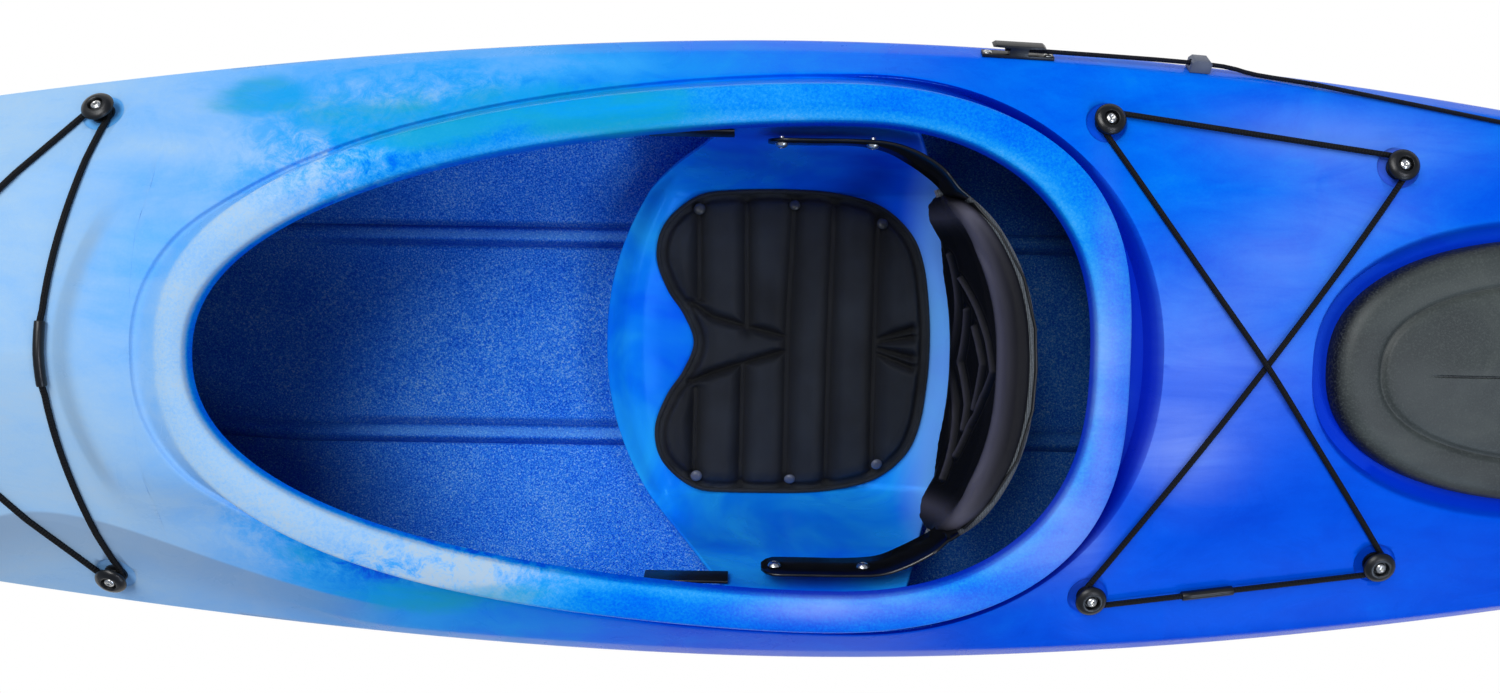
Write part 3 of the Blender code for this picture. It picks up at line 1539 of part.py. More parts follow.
def build_foot_brace(side):
    """Straight rail on the inner wall and a pedal whose carriage wraps it."""
    levels = (RAIL_Z - RAIL_HEIGHT / 2, RAIL_Z + RAIL_HEIGHT / 2)
    places = [mix(RAIL_FRONT - 0.004, RAIL_REAR + 0.004, k / 12) for k in range(13)]
    walls = [min(abs(side_wall(x, z, side).y) for z in levels) for x in places]
    slope = (walls[-1] - walls[0]) / (places[-1] - places[0])
    room = min(y - walls[0] - slope * (x - places[0]) for x, y in zip(places, walls))
    inset = RAIL_DEPTH / 2 * math.sqrt(1 + slope**2) + 3 * GAP
    ends = []
    for x in (RAIL_FRONT, RAIL_REAR):
        y = walls[0] + slope * (x - places[0]) + room - inset
        ends.append(Vector((x, side * y, RAIL_Z)))
    run = ends[1] - ends[0]
    length = run.length
    middle = (ends[0] + ends[1]) / 2
    place = frame_at(middle, (0.0, 0.0, 1.0), run)
    name = side_name(side)
    out = side
    rail_low = (-length / 2, -RAIL_DEPTH / 2, -RAIL_HEIGHT / 2)
    rail_high = (length / 2, RAIL_DEPTH / 2, RAIL_HEIGHT / 2)
    data = finish_mesh(box_mesh(rail_low, rail_high), f"foot_rail_{name}")
    add_object(f"foot_rail_{name}", data, BLACK_PLASTIC, place, smooth=False)
    spot = frame_at(ends[0].lerp(ends[1], PEDAL_SHARE), (0.0, 0.0, 1.0), run)
    half = CARRIAGE_LENGTH / 2
    inner = -out * (RAIL_DEPTH / 2 + RUNNING_GAP + CARRIAGE_WALL)
    outer = out * (RAIL_DEPTH / 2 - CARRIAGE_SETBACK)
    tall = RAIL_HEIGHT / 2 + RUNNING_GAP + CARRIAGE_WALL
    low = (-half, min(inner, outer), -tall)
    high = (half, max(inner, outer), tall)
    data = finish_mesh(box_mesh(low, high), f"foot_pedal_{name}")
    pedal = add_object(f"foot_pedal_{name}", data, BLACK_PLASTIC, spot, smooth=False)
    plate_far = inner - out * PEDAL_WIDTH
    plate_near = inner + out * 0.001
    plate_low = (-PEDAL_THICKNESS, min(plate_far, plate_near), -PEDAL_HEIGHT * 0.4)
    plate_high = (0.0, max(plate_far, plate_near), PEDAL_HEIGHT * 0.6)
    join(pedal, box_cutter(f"pedal plate {name}", plate_low, plate_high, spot))
    room = RUNNING_GAP
    groove_low = (-0.05, -RAIL_DEPTH / 2 - room, -RAIL_HEIGHT / 2 - room)
    groove_high = (0.05, RAIL_DEPTH / 2 + room, RAIL_HEIGHT / 2 + room)
    cut(pedal, box_cutter(f"pedal groove {name}", groove_low, groove_high, spot))


for side in (1, -1):
    build_foot_brace(side)
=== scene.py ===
import math
from functools import partial

import bmesh
import bpy
import numpy as np
from mathutils import Matrix, Vector
from mathutils.bvhtree import BVHTree


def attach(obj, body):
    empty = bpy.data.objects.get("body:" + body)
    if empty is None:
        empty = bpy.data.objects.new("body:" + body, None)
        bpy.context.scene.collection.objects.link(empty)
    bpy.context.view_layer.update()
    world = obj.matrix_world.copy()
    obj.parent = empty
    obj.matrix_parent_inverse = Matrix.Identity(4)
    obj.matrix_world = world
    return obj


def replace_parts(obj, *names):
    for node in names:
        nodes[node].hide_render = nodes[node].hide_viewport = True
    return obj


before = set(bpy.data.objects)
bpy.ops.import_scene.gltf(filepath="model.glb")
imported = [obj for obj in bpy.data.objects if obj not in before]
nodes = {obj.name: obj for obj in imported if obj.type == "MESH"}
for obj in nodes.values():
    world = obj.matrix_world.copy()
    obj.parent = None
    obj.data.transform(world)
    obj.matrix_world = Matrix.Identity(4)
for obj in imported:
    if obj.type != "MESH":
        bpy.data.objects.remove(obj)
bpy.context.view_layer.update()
scene = bpy.context.scene


# Small tools


def say(text):
    print("stage:", text)


def smoothStep(value):
    t = min(max(value, 0.0), 1.0)
    return t * t * (3.0 - 2.0 * t)


def mix(a, b, share):
    return a + (b - a) * share


def hexColor(code):
    values = [int(code[i : i + 2], 16) / 255 for i in (0, 2, 4)]
    linear = [v / 12.92 if v <= 0.04045 else ((v + 0.055) / 1.055) ** 2.4 for v in values]
    return (*linear, 1.0)


def frameAt(origin, normal):
    # A place whose Z axis is the normal and whose X axis looks aft
    z = Vector(normal).normalized()
    y = z.cross(Vector((1.0, 0.0, 0.0))).normalized()
    rotation = Matrix((y.cross(z), y, z)).transposed().to_4x4()
    return Matrix.Translation(Vector(origin)) @ rotation


def nodePoints(name):
    points = {tuple(round(c, 5) for c in v.co) for v in nodes[name].data.vertices}
    return np.array(sorted(points))


def axisOf(name, facing, longest=True):
    # Middle, axis and reach of a turned CAD solid, with the axis towards facing
    points = nodePoints(name)
    centre = points.mean(0)
    axis = np.linalg.eigh(np.cov((points - centre).T))[1][:, 2 if longest else 0]
    if axis @ np.array(facing) < 0:
        axis = -axis
    reach = (points - centre) @ axis
    return Vector(centre), Vector(axis), float(reach.min()), float(reach.max())


def makeObject(name, mesh, material, smooth=True, sharp=None):
    data = bpy.data.meshes.new(name)
    mesh.to_mesh(data)
    mesh.free()
    obj = bpy.data.objects.new(name, data)
    scene.collection.objects.link(obj)
    for item in material if isinstance(material, (list, tuple)) else [material]:
        data.materials.append(item)
    if smooth:
        data.shade_smooth()
        if sharp:
            data.set_sharp_from_angle(angle=math.radians(sharp))
    return obj


def applied(obj):
    depsgraph = bpy.context.evaluated_depsgraph_get()
    data = bpy.data.meshes.new_from_object(obj.evaluated_get(depsgraph))
    old = obj.data
    obj.modifiers.clear()
    obj.data = data
    bpy.data.meshes.remove(old)
    return obj


def walled(obj, thickness):
    # Gives a skin its wall, inwards
    wall = obj.modifiers.new("wall", "SOLIDIFY")
    wall.thickness = thickness
    wall.offset = -1.0
    wall.use_quality_normals = True
    return wall


def coordinates(obj):
    co = np.zeros(len(obj.data.vertices) * 3)
    obj.data.vertices.foreach_get("co", co)
    return co.reshape(-1, 3)


def skinRows(mesh, rows, closeRows=False, closeColumns=False):
    # Faces between rows of points that have the same count
    verts = [[mesh.verts.new(point) for point in row] for row in rows]
    for i in range(len(verts) if closeRows else len(verts) - 1):
        here = verts[i]
        there = verts[(i + 1) % len(verts)]
        for j in range(len(here) if closeColumns else len(here) - 1):
            k = (j + 1) % len(here)
            mesh.faces.new((here[j], here[k], there[k], there[j]))
    return verts


def cappedSkin(rows):
    # Rings joined in turn, with a face over the first and the last
    mesh = bmesh.new()
    verts = skinRows(mesh, rows, closeColumns=True)
    mesh.faces.new(verts[0])
    mesh.faces.new(list(reversed(verts[-1])))
    bmesh.ops.recalc_face_normals(mesh, faces=mesh.faces)
    return mesh


def spinProfile(mesh, profile, steps):
    # A profile of (radius, height) turned round the Z axis
    verts = [mesh.verts.new((radius, 0.0, height)) for radius, height in profile]
    edges = [mesh.edges.new(pair) for pair in zip(verts, verts[1:])]
    spin = {"cent": (0.0, 0.0, 0.0), "axis": (0.0, 0.0, 1.0), "angle": 2 * math.pi}
    bmesh.ops.spin(mesh, geom=verts + edges, steps=steps, use_merge=True, **spin)


def lathe(name, profile, matrix, material, steps):
    mesh = bmesh.new()
    spinProfile(mesh, profile, steps)
    bmesh.ops.remove_doubles(mesh, verts=mesh.verts, dist=1e-6)
    bmesh.ops.recalc_face_normals(mesh, faces=mesh.faces)
    bmesh.ops.transform(mesh, matrix=matrix, verts=mesh.verts)
    return makeObject(name, mesh, material, sharp=35)


def tube(name, points, radius, material, sides=10, closed=False):
    # A round tube; its UV map "run" gives the turn round it and the metres along it
    count = len(points)
    mesh = bmesh.new()
    layer = mesh.loops.layers.uv.new("run")
    rows = []
    runs = [0.0]
    up = Vector((0.0, 0.0, 1.0))
    for i, point in enumerate(points):
        before = points[i - 1] if closed or i > 0 else point
        after = points[(i + 1) % count] if closed or i < count - 1 else point
        along = (after - before).normalized()
        across = along.cross(up)
        if across.length < 0.05:
            across = along.cross(Vector((1.0, 0.0, 0.0)))
        across.normalize()
        over = across.cross(along)
        ring = []
        for k in range(sides):
            angle = 2 * math.pi * k / sides
            ring.append(point + (across * math.cos(angle) + over * math.sin(angle)) * radius)
        rows.append(ring)
        runs.append(runs[-1] + (points[(i + 1) % count] - point).length)
    verts = skinRows(mesh, rows, closeRows=closed, closeColumns=True)
    if not closed:
        mesh.faces.new(verts[0])
        mesh.faces.new(list(reversed(verts[-1])))
    place = {v: (i, k) for i, row in enumerate(verts) for k, v in enumerate(row)}
    for face in mesh.faces:
        spots = [place[loop.vert] for loop in face.loops]
        wrapI = max(s[0] for s in spots) - min(s[0] for s in spots) > 1
        wrapK = max(s[1] for s in spots) - min(s[1] for s in spots) > 1
        for loop, (i, k) in zip(face.loops, spots):
            run = runs[count] if wrapI and i == 0 else runs[i]
            turn = sides if wrapK and k == 0 else k
            loop[layer].uv = (turn / sides, run)
    bmesh.ops.recalc_face_normals(mesh, faces=mesh.faces)
    return makeObject(name, mesh, material)


def spline(points, count, closed=False):
    # A smooth curve through the points, count steps from each to the next
    p = [Vector(q) for q in points]
    result = []
    spans = len(p) if closed else len(p) - 1
    for i in range(spans):
        if closed:
            a, b, c, d = p[i - 1], p[i], p[(i + 1) % len(p)], p[(i + 2) % len(p)]
        else:
            a, b, c, d = p[max(i - 1, 0)], p[i], p[i + 1], p[min(i + 2, len(p) - 1)]
        for k in range(count):
            t = k / count
            curve = 2 * b + (c - a) * t + (2 * a - 5 * b + 4 * c - d) * t * t
            result.append(0.5 * (curve + (3 * b - a - 3 * c + d) * t**3))
    if not closed:
        result.append(p[-1])
    return result


def copied(name, node, bevel, material):
    # The CAD solid's own shape, merged from its triangles, with its sharp edges rounded
    mesh = bmesh.new()
    mesh.from_mesh(nodes[node].data)
    bmesh.ops.remove_doubles(mesh, verts=mesh.verts, dist=1e-5)
    bmesh.ops.dissolve_limit(mesh, angle_limit=math.radians(1), verts=mesh.verts, edges=mesh.edges)
    edges = [e for e in mesh.edges if e.is_manifold and e.calc_face_angle() > math.radians(28)]
    rounding = {"segments": 2, "profile": 0.5, "affect": "EDGES", "material": -1, "clamp_overlap": True}
    bmesh.ops.bevel(mesh, geom=edges, offset=bevel, **rounding)
    for layer in list(mesh.loops.layers.uv):
        mesh.loops.layers.uv.remove(layer)
    obj = makeObject(name, mesh, material, sharp=40)
    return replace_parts(obj, node)


def settle(obj, body, slotName, *replaced):
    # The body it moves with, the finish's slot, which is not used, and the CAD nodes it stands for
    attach(obj, body)
    if replaced:
        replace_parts(obj, *replaced)
    return obj


# Materials

# What the values of an add() call stand for: the node, its sockets or settings in the order of the values,
# what it always has, and the output that is read. Any other word is an operation of the Math node.
nodeKinds = {
    "point": ("TexCoord", (), {}, "Object"),
    "run": ("UVMap", (), {"uv_map": "run"}, 0),
    "attribute": ("Attribute", ("attribute_name",), {}, "Fac"),
    "axes": ("SeparateXYZ", ("Vector",), {}, 0),
    "stretch": ("Mapping", ("Vector", "Scale"), {}, 0),
    "noise": ("TexNoise", ("Vector", "Scale", "Detail", "Roughness", "Distortion"), {}, 0),
    "wave": ("TexWave", ("Vector", "Scale", "Distortion", "Detail", "bands_direction"), {}, "Fac"),
    "cells": ("TexVoronoi", ("Vector", "Scale"), {}, "Distance"),
    "remap": ("MapRange", (0, 1, 2, 3, 4), {"interpolation_type": "SMOOTHSTEP"}, 0),
    "blend": ("Mix", (0, 6, 7), {"data_type": "RGBA"}, 2),
    "ramp": ("ValToRGB", ("Fac", "stops"), {}, 0),
    "bump": ("Bump", ("Height", "Distance", "Strength", "Normal"), {}, 0),
    "diffuse": ("BsdfDiffuse", ("Color",), {}, 0),
    "glow": ("Emission", ("Color", "Strength"), {}, 0),
    "rays": ("LightPath", (), {}, 0),
    "eitherShader": ("MixShader", (0, 1, 2), {}, 0),
}


def addNode(tree, word, *values):
    # A value that is another node's output becomes a link, and six hex digits become a colour
    kind, names, always, output = nodeKinds.get(word, ("Math", (0, 1), {"operation": word}, 0))
    node = tree.nodes.new("ShaderNode" + kind)
    for name, value in [*always.items(), *zip(names, values)]:
        if name == "stops":
            elements = node.color_ramp.elements
            while len(elements) < len(value):
                elements.new(0.5)
            for element, (place, code) in zip(elements, value):
                element.position = place
                element.color = hexColor(code)
        elif isinstance(value, bpy.types.NodeSocket):
            tree.links.new(value, node.inputs[name])
        elif isinstance(name, int) or name in node.inputs:
            node.inputs[name].default_value = hexColor(value) if isinstance(value, str) else value
        else:
            setattr(node, name, value)
    return node.outputs[output]


def newMaterial(name, settings):
    # Gives the material, its shader and a short add() that adds a node to it
    material = bpy.data.materials.new(name)
    material.use_nodes = True
    shader = material.node_tree.nodes["Principled BSDF"]
    for key, value in settings.items():
        shader.inputs[key].default_value = hexColor(value) if isinstance(value, str) else value
    return material, shader, partial(addNode, material.node_tree)


def connect(shader, sources):
    for name, source in sources.items():
        shader.id_data.links.new(source, shader.inputs[name])


def product(add, first, *others):
    for other in others:
        first = add("MULTIPLY", first, other)
    return first


def swing(add, source, weight):
    # A pattern round 0.5, made to swing round zero
    return product(add, add("SUBTRACT", source, 0.5), weight)


# Shade of the foredeck's port flat and of the step ahead of the cockpit, on top of their shapes in the mesh
bowShade = {
    "crease": (-10.151, -15.197, -7.816, -1.882, -0.4396),
    "stepX": -0.582,
    "stepSweep": 1.9,
    "deck": (0.20, 0.25),
}


def bowShadeMasks(add, point):
    x, y, z = add("axes", point).node.outputs
    cubic, *terms, last = bowShade["crease"]
    line = product(add, x, cubic)
    for term in terms:
        line = product(add, add("ADD", line, term), x)
    past = add("SUBTRACT", add("ADD", line, last), y)
    near = add("SUBTRACT", 1.3, add("remap", past, 0.0, 0.075, 0.0, 0.85))
    onDeck = add("remap", z, *bowShade["deck"])
    forward = add("remap", x, -0.39, -0.27, 1.0, 0.0)
    facet = product(add, add("remap", past, -0.001, 0.003), near, forward, onDeck)
    bowed = product(add, y, y, bowShade["stepSweep"])
    front = add("SUBTRACT", x, add("ADD", bowed, bowShade["stepX"]))
    middle = add("remap", add("ABSOLUTE", y), 0.10, 0.145, 1.0, 0.0)
    band = product(add, add("remap", front, -0.004, 0.003), add("remap", front, 0.012, 0.030, 1.0, 0.0))
    return facet, product(add, band, middle, onDeck)


def makeHullOutside():
    # Polyethylene powder melted in a turning mould: a soft gloss over faint waves, and colours that run
    # into each other with a powdery edge. The powder's 0.5 mm grains are drawn at 2.6 mm, to show in the
    # render. The IOR is below the plastic's 1.5, for the weak gloss of the photograph.
    settings = {"IOR": 1.2, "Specular IOR Level": 0.8, "Specular Tint": "449df6"}
    material, shader, add = newMaterial("rotomoulded_polyethylene_outside", settings)
    point = add("point")
    streaks = add("noise", add("stretch", point, (2.2, 6.5, 2.0)), 2.6, 8.0, 0.68, 0.6)
    patches = add("noise", add("stretch", point, (1.2, 1.8, 1.0)), 9.0, 5.0, 0.62, 0.8)
    powder = add("noise", point, 380.0, 3.0, 0.8)
    shade = add("ADD", add("attribute", "fade"), swing(add, streaks, 0.27))
    shade = add("ADD", shade, swing(add, patches, 0.24))
    rimGrit = add("ADD", product(add, add("attribute", "rim"), 2.4), 0.5)
    shade = add("ADD", shade, product(add, swing(add, powder, 0.16), rimGrit))
    spatter = add("remap", add("noise", point, 46.0, 7.0, 0.78, 0.4), 0.30, 0.70, -0.5, 0.5)
    spread = product(add, add("attribute", "spatter"), 0.85)
    shade = add("ADD", shade, product(add, spatter, spread))
    # Painted highlight along the inner rounding of the rim
    shade = add("ADD", shade, product(add, add("attribute", "shine"), 0.17))
    royalToPale = (
        (0.0, "0047d4"), (0.12, "0057e4"), (0.24, "0072ee"), (0.36, "0a8fec"), (0.48, "2ea2f0"),
        (0.60, "5badf3"), (0.74, "88bcee"), (0.88, "a2c7e6"), (1.0, "b2c9da"),
    )
    color = add("ramp", shade, royalToPale)
    teal = add("ADD", add("attribute", "teal"), add("SUBTRACT", patches, 0.5))
    green = add("ramp", streaks, ((0.40, "069ee2"), (0.56, "12a0c4")))
    color = add("blend", add("remap", teal, 0.25, 0.75, 0.0, 0.85), color, green)
    # Painted sheen: pale lilac patches where the gloss would mirror the lamps
    haze = product(add, add("attribute", "haze"), add("remap", streaks, 0.25, 0.65, 0.55, 1.1))
    color = add("blend", haze, color, "9fb6f8")
    # Painted shade: the gutter behind the rim, the lip's inner wall towards the rear and the hatch's recess
    # go dark blue
    color = add("blend", add("attribute", "gutter"), color, "0025c4")
    facet, step = bowShadeMasks(add, point)
    # Painted shade: greyer on the foredeck's port flat and on the step ahead of the cockpit
    color = add("blend", product(add, facet, 0.50), color, "8599b0")
    color = add("blend", product(add, step, 0.42), color, "86a4bd")
    rough = add("remap", patches, 0.3, 0.7, 0.24, 0.34)
    grain = add("bump", add("noise", point, 900.0, 2.0, 0.5), 0.00015, 0.6)
    waves = add("bump", add("noise", point, 9.0, 2.0, 0.4), 0.0011, 1.0, grain)
    connect(shader, {"Base Color": color, "Roughness": rough, "Normal": waves})
    return material


# The shade of the floor's two ribs lies this far to each side of their middle
floorShade = {"middle": 0.0025, "rib": 0.116}


def makeHullInside():
    # The same plastic where no mould touched it: a dull, pebbled skin with light specks about 2 mm apart
    settings = {"IOR": 1.5, "Specular IOR Level": 0.4, "Specular Tint": "7fa8f0", "Roughness": 0.55}
    material, shader, add = newMaterial("rotomoulded_polyethylene_inside", settings)
    point = add("point")
    x, y, z = add("axes", point).node.outputs
    coarse = add("noise", point, 500.0, 3.0, 0.8)
    speck = add("ADD", coarse, swing(add, add("noise", point, 14.0, 4.0, 0.6), 0.16))
    color = add("ramp", speck, ((0.33, "0340cc"), (0.45, "0e6ef4"), (0.55, "369afc"), (0.67, "a6d2ff")))
    # Painted highlight on the crests of the floor's ribs and painted shade on their flanks, low in the
    # cockpit
    fromMiddle = add("ABSOLUTE", add("SUBTRACT", y, floorShade["middle"]))
    off = add("ABSOLUTE", add("SUBTRACT", fromMiddle, floorShade["rib"]))
    crest = add("remap", off, 0.0025, 0.0065, 1.0, 0.0)
    flank = product(add, add("remap", off, 0.0045, 0.0080), add("remap", off, 0.0125, 0.0185, 1.0, 0.0))
    ahead = add("remap", x, -0.48, -0.36)
    behind = add("remap", x, 0.20, 0.30, 1.0, 0.35)
    low = product(add, add("remap", z, 0.09, 0.12, 1.0, 0.0), ahead, behind)
    color = add("blend", product(add, flank, low, 0.66), color, "0034a4")
    color = add("blend", product(add, crest, low, 0.34), color, "74beff")
    # Painted shade: darker under the foredeck and behind the seat
    color = add("blend", add("remap", x, -0.50, -0.20, 0.66, 0.0), color, "031a5c")
    color = add("blend", add("remap", x, 0.20, 0.30, 0.0, 0.62), color, "061638")
    connect(shader, {"Base Color": color, "Normal": add("bump", coarse, 0.0009, 0.9)})
    return material


def makeSeatPlastic():
    # Moulded polyethylene off a polished mould: smoother and glossier than the hull, with slow waves
    settings = {"IOR": 1.45, "Specular IOR Level": 0.45, "Specular Tint": "449df6"}
    material, shader, add = newMaterial("moulded_polyethylene_seat", settings)
    point = add("point")
    x, y, _ = add("axes", point).node.outputs
    cloudy = add("noise", point, 7.0, 4.0, 0.55, 0.6)
    grain = add("noise", point, 700.0, 2.0, 0.5)
    # Painted light: lighter towards the seat's front and its port side, darker on its starboard side
    shade = add("ADD", cloudy, add("remap", x, -0.10, 0.06, 0.22, 0.0))
    shade = add("ADD", shade, add("remap", y, -0.20, 0.10, 0.10, -0.04))
    color = add("ramp", shade, ((0.3, "004cee"), (0.5, "0068ff"), (0.66, "0a86ff"), (0.95, "2abaff")))
    # Painted highlight on the strip between the pad and the backrest
    color = add("blend", add("remap", x, 0.215, 0.262, 0.0, 0.62), color, "84c4ff")
    rough = add("remap", cloudy, 0.3, 0.7, 0.18, 0.28)
    small = add("bump", grain, 0.0001, 0.5)
    waves = add("bump", add("noise", point, 16.0, 2.0, 0.4), 0.0016, 1.0, small)
    connect(shader, {"Base Color": color, "Roughness": rough, "Normal": waves})
    return material


def makeFabric(name, base, lit, scale, distance, gloss, sheen, shine):
    # Woven polyester over foam: a matt cloth with a thread about 0.3 mm wide and some lint. One attribute
    # darkens stitched seams and lays painted shade in the valleys, another lays a painted grey highlight on a
    # roll or ridge
    settings = {"Roughness": gloss, "Sheen Weight": sheen, "Sheen Roughness": 0.35}
    settings |= {"Sheen Tint": "c4c6dc", "Specular IOR Level": shine}
    material, shader, add = newMaterial(name, settings)
    point = add("point")
    threads = []
    for direction in ("X", "Y"):
        threads.append(add("wave", point, scale, 0.6, 1.0, direction))
    wear = add("noise", point, 14.0, 5.0, 0.6)
    lint = add("noise", point, 900.0, 2.0, 0.8)
    color = add("ramp", wear, ((0.25, base), (0.75, lit)))
    color = add("blend", add("remap", lint, 0.74, 0.82, 0.0, 0.25), color, "8b909c")
    # A painted grey highlight, then dark stitching and painted shade
    color = add("blend", product(add, add("attribute", "satin"), 0.75), color, "5c5b6a")
    color = add("blend", add("attribute", "seam"), color, "040507")
    soft = add("bump", wear, 0.0014, 0.5)
    weave = add("bump", product(add, *threads), distance, 0.8, soft)
    connect(shader, {"Base Color": color, "Normal": weave})
    return material


def makeWebbing():
    # Woven polyester tape: grey and dull, its ribs 1.4 mm apart and broken into a light and dark grain
    material, shader, add = newMaterial("woven_polyester_tape", {"Roughness": 0.8, "Sheen Weight": 0.2})
    point = add("point")
    wave = add("wave", point, 220.0, 1.5)
    speck = add("noise", point, 800.0, 2.0, 0.7)
    weave = add("ADD", product(add, wave, 0.4), product(add, speck, 0.8))
    color = add("ramp", weave, ((0.3, "1a1d20"), (0.55, "3a3f43"), (0.8, "666c70")))
    connect(shader, {"Base Color": color, "Normal": add("bump", weave, 0.0004, 0.8)})
    return material


def makeNylon(name, base, lit, rough):
    # Injection moulded nylon: an even colour with a fine grain under 1 mm, glossier on the arms than
    # on the snaps
    material, shader, add = newMaterial(name, {"IOR": 1.5, "Specular IOR Level": 0.5})
    point = add("point")
    cloudy = add("noise", point, 40.0, 4.0, 0.6)
    color = add("ramp", cloudy, ((0.3, base), (0.75, lit)))
    grain = add("bump", add("noise", point, 1500.0, 2.0, 0.5), 0.00008, 0.6)
    sources = {"Base Color": color, "Roughness": add("remap", cloudy, 0.3, 0.7, *rough), "Normal": grain}
    connect(shader, sources)
    return material


def makeCordWeave(name, base, lit, pitch):
    # Braided polyester over a core: strands that cross at the pitch, given in metres, and hardly shine
    material, shader, add = newMaterial(name, {"Roughness": 0.7, "Specular IOR Level": 0.25})
    turn, run, _ = add("axes", add("run")).node.outputs
    turns = product(add, turn, 4.0)
    runs = add("DIVIDE", run, pitch)
    strands = []
    for operation in ("ADD", "SUBTRACT"):
        phase = product(add, add(operation, turns, runs), 2 * math.pi)
        strands.append(add("SINE", phase))
    weave = product(add, *strands)
    fleck = add("ADD", product(add, weave, 0.3), 0.5)
    color = add("ramp", fleck, ((0.2, base), (0.8, lit)))
    connect(shader, {"Base Color": color, "Normal": add("bump", weave, 0.0005, 0.8)})
    return material


# The scored line on the cover, and the height below which its skirt is in its own shade
rubberMarks = {"lineY": -0.004, "lineStart": (0.690, 0.712), "skirt": (0.2700, 0.2792)}


def makeRubber():
    # Moulded rubber that the sun has greyed: dull, with a fine grain about 2 mm apart
    material, shader, add = newMaterial("moulded_rubber", {"IOR": 1.5, "Specular IOR Level": 0.42})
    point = add("point")
    x, y, z = add("axes", point).node.outputs
    cloudy = add("noise", add("stretch", point, (1.0, 1.4, 1.0)), 9.0, 4.0, 0.6, 0.6)
    grain = add("noise", point, 520.0, 3.0, 0.6)
    off = add("ABSOLUTE", add("SUBTRACT", y, rubberMarks["lineY"]))
    behind = add("remap", x, *rubberMarks["lineStart"])
    line = product(add, add("remap", off, 0.0003, 0.0016, 1.0, 0.0), behind)
    color = add("ramp", cloudy, ((0.28, "2c302f"), (0.5, "383e3c"), (0.75, "494f4a")))
    color = add("blend", product(add, line, 0.8), color, "0c0f11")
    # Painted shade on the skirt below the lid's top
    color = add("blend", add("remap", z, *rubberMarks["skirt"], 0.94, 0.0), color, "05070b")
    color = add("blend", add("remap", grain, 0.45, 0.75, 0.0, 0.4), color, "5c625e")
    crease = add("bump", add("SUBTRACT", 1.0, line), 0.0012, 1.0)
    normal = add("bump", grain, 0.0003, 0.7, crease)
    sources = {"Base Color": color, "Roughness": add("remap", grain, 0.3, 0.7, 0.42, 0.58), "Normal": normal}
    connect(shader, sources)
    return material


def makeSteel():
    # Stainless steel, turned and lightly brushed: bright, with fine marks that blur what it mirrors
    material, shader, add = newMaterial("brushed_stainless_steel", {"Metallic": 1.0})
    brushed = add("noise", add("stretch", add("point"), (1.0, 9.0, 1.0)), 500.0, 2.0, 0.5)
    color = add("ramp", brushed, ((0.3, "b9b9b6"), (0.7, "e2e2e0")))
    connect(shader, {"Base Color": color, "Roughness": add("remap", brushed, 0.3, 0.7, 0.18, 0.32)})
    return material


def makeFoam():
    # Closed cell foam, cut with a knife: dark grey and dull, with open cells about 2.4 mm wide
    material, shader, add = newMaterial("closed_cell_foam", {"Roughness": 0.9})
    point = add("point")
    cells = add("cells", point, 420.0)
    color = add("ramp", add("noise", point, 18.0, 4.0, 0.6), ((0.3, "26282b"), (0.7, "36393d")))
    connect(shader, {"Base Color": color, "Normal": add("bump", cells, 0.0006, 0.6)})
    return material


hullOutside = makeHullOutside()
hullInside = makeHullInside()
seatPlastic = makeSeatPlastic()
padFabric = makeFabric("woven_polyester_seat_pad", "0a0c10", "272d35", 900.0, 0.00025, 0.5, 0.08, 0.36)
backFabric = makeFabric("woven_polyester_backrest", "030305", "08080c", 1100.0, 0.00008, 0.46, 0.03, 0.16)
webbing = makeWebbing()
blackPlastic = makeNylon("moulded_nylon_black", "050608", "0d0f12", (0.28, 0.40))
armPlastic = makeNylon("moulded_nylon_arms", "030406", "0a0b10", (0.16, 0.24))
slatePlastic = makeNylon("moulded_nylon_slate", "4a5060", "5d6475", (0.35, 0.5))
darkSnap = makeNylon("moulded_nylon_dark_snap", "2c2f31", "3d4143", (0.35, 0.5))
cordWeave = makeCordWeave("braided_polyester_deck_cord", "010102", "0b0c0f", 0.0060)
lineWeave = makeCordWeave("braided_polyester_skeg_line", "010206", "0a0f20", 0.0045)
rubber = makeRubber()
steel = makeSteel()
foam = makeFoam()
say("materials")


# Hull form, the same curves as the solid's, at a finer pitch

hull = {
    "length": 3.66,
    "beam": 0.622,
    "widest": 0.102,
    "wall": 0.005,
    "tip": 0.018,
    "overrun": 0.12,
    "bowPower": 1.83,
    "sternPower": 1.96,
    "taper": 1.3,
    "soft": 0.0028,
    "softWeights": ((-1.0, 0.12), (-0.5, 0.24), (0.0, 0.28), (0.5, 0.24), (1.0, 0.12)),
    "tipSteps": (0.0, 0.0015, 0.004, 0.008, 0.013, 0.018, 0.026, 0.04, 0.06, 0.085, 0.115),
    "rib": 0.011,
    "cockpitSteps": 110,
    "hatchSteps": 52,
    "pocketRadius": 0.0205,
    "pocketDepth": 0.0015,
    "skegSlot": (0.255, 0.011, 0.12),
    "skegPlace": (1.3625, 0.0, 0.04),
}
# A rise is its height and the power that it grows with
keel = {"flat": 0.62, "rise": (0.040, 2.2), "stem": 0.30, "stemRise": (0.19, 2.4), "half": 0.06}
sheer = {"middle": 0.212, "bow": 0.300, "stern": 0.262, "power": 2.2}
deck = {
    "narrow": 0.66,
    "wide": 0.955,
    "sweep": (-0.61, 0.33, 1.2),
    "edgeSlope": 0.45,
    "edgeRise": 0.015,
    "bow": 0.312,
    "front": 0.320,
    "rear": 0.270,
    "crowns": (1.35, 2.2),
    "crownTurn": (-0.66, 0.2),
    "rimLift": 0.016,
}
cowl = {
    "x": -0.588,
    "bow": 0.034,
    "half": 0.136,
    "soft": 0.055,
    "height": 0.015,
    "ramp": 0.038,
    "rear": (0.102, 0.2),
}
ribs = {"y": 0.117, "share": 0.43, "half": 0.0095, "fade": (0.85, 0.30), "roundness": 1.4}
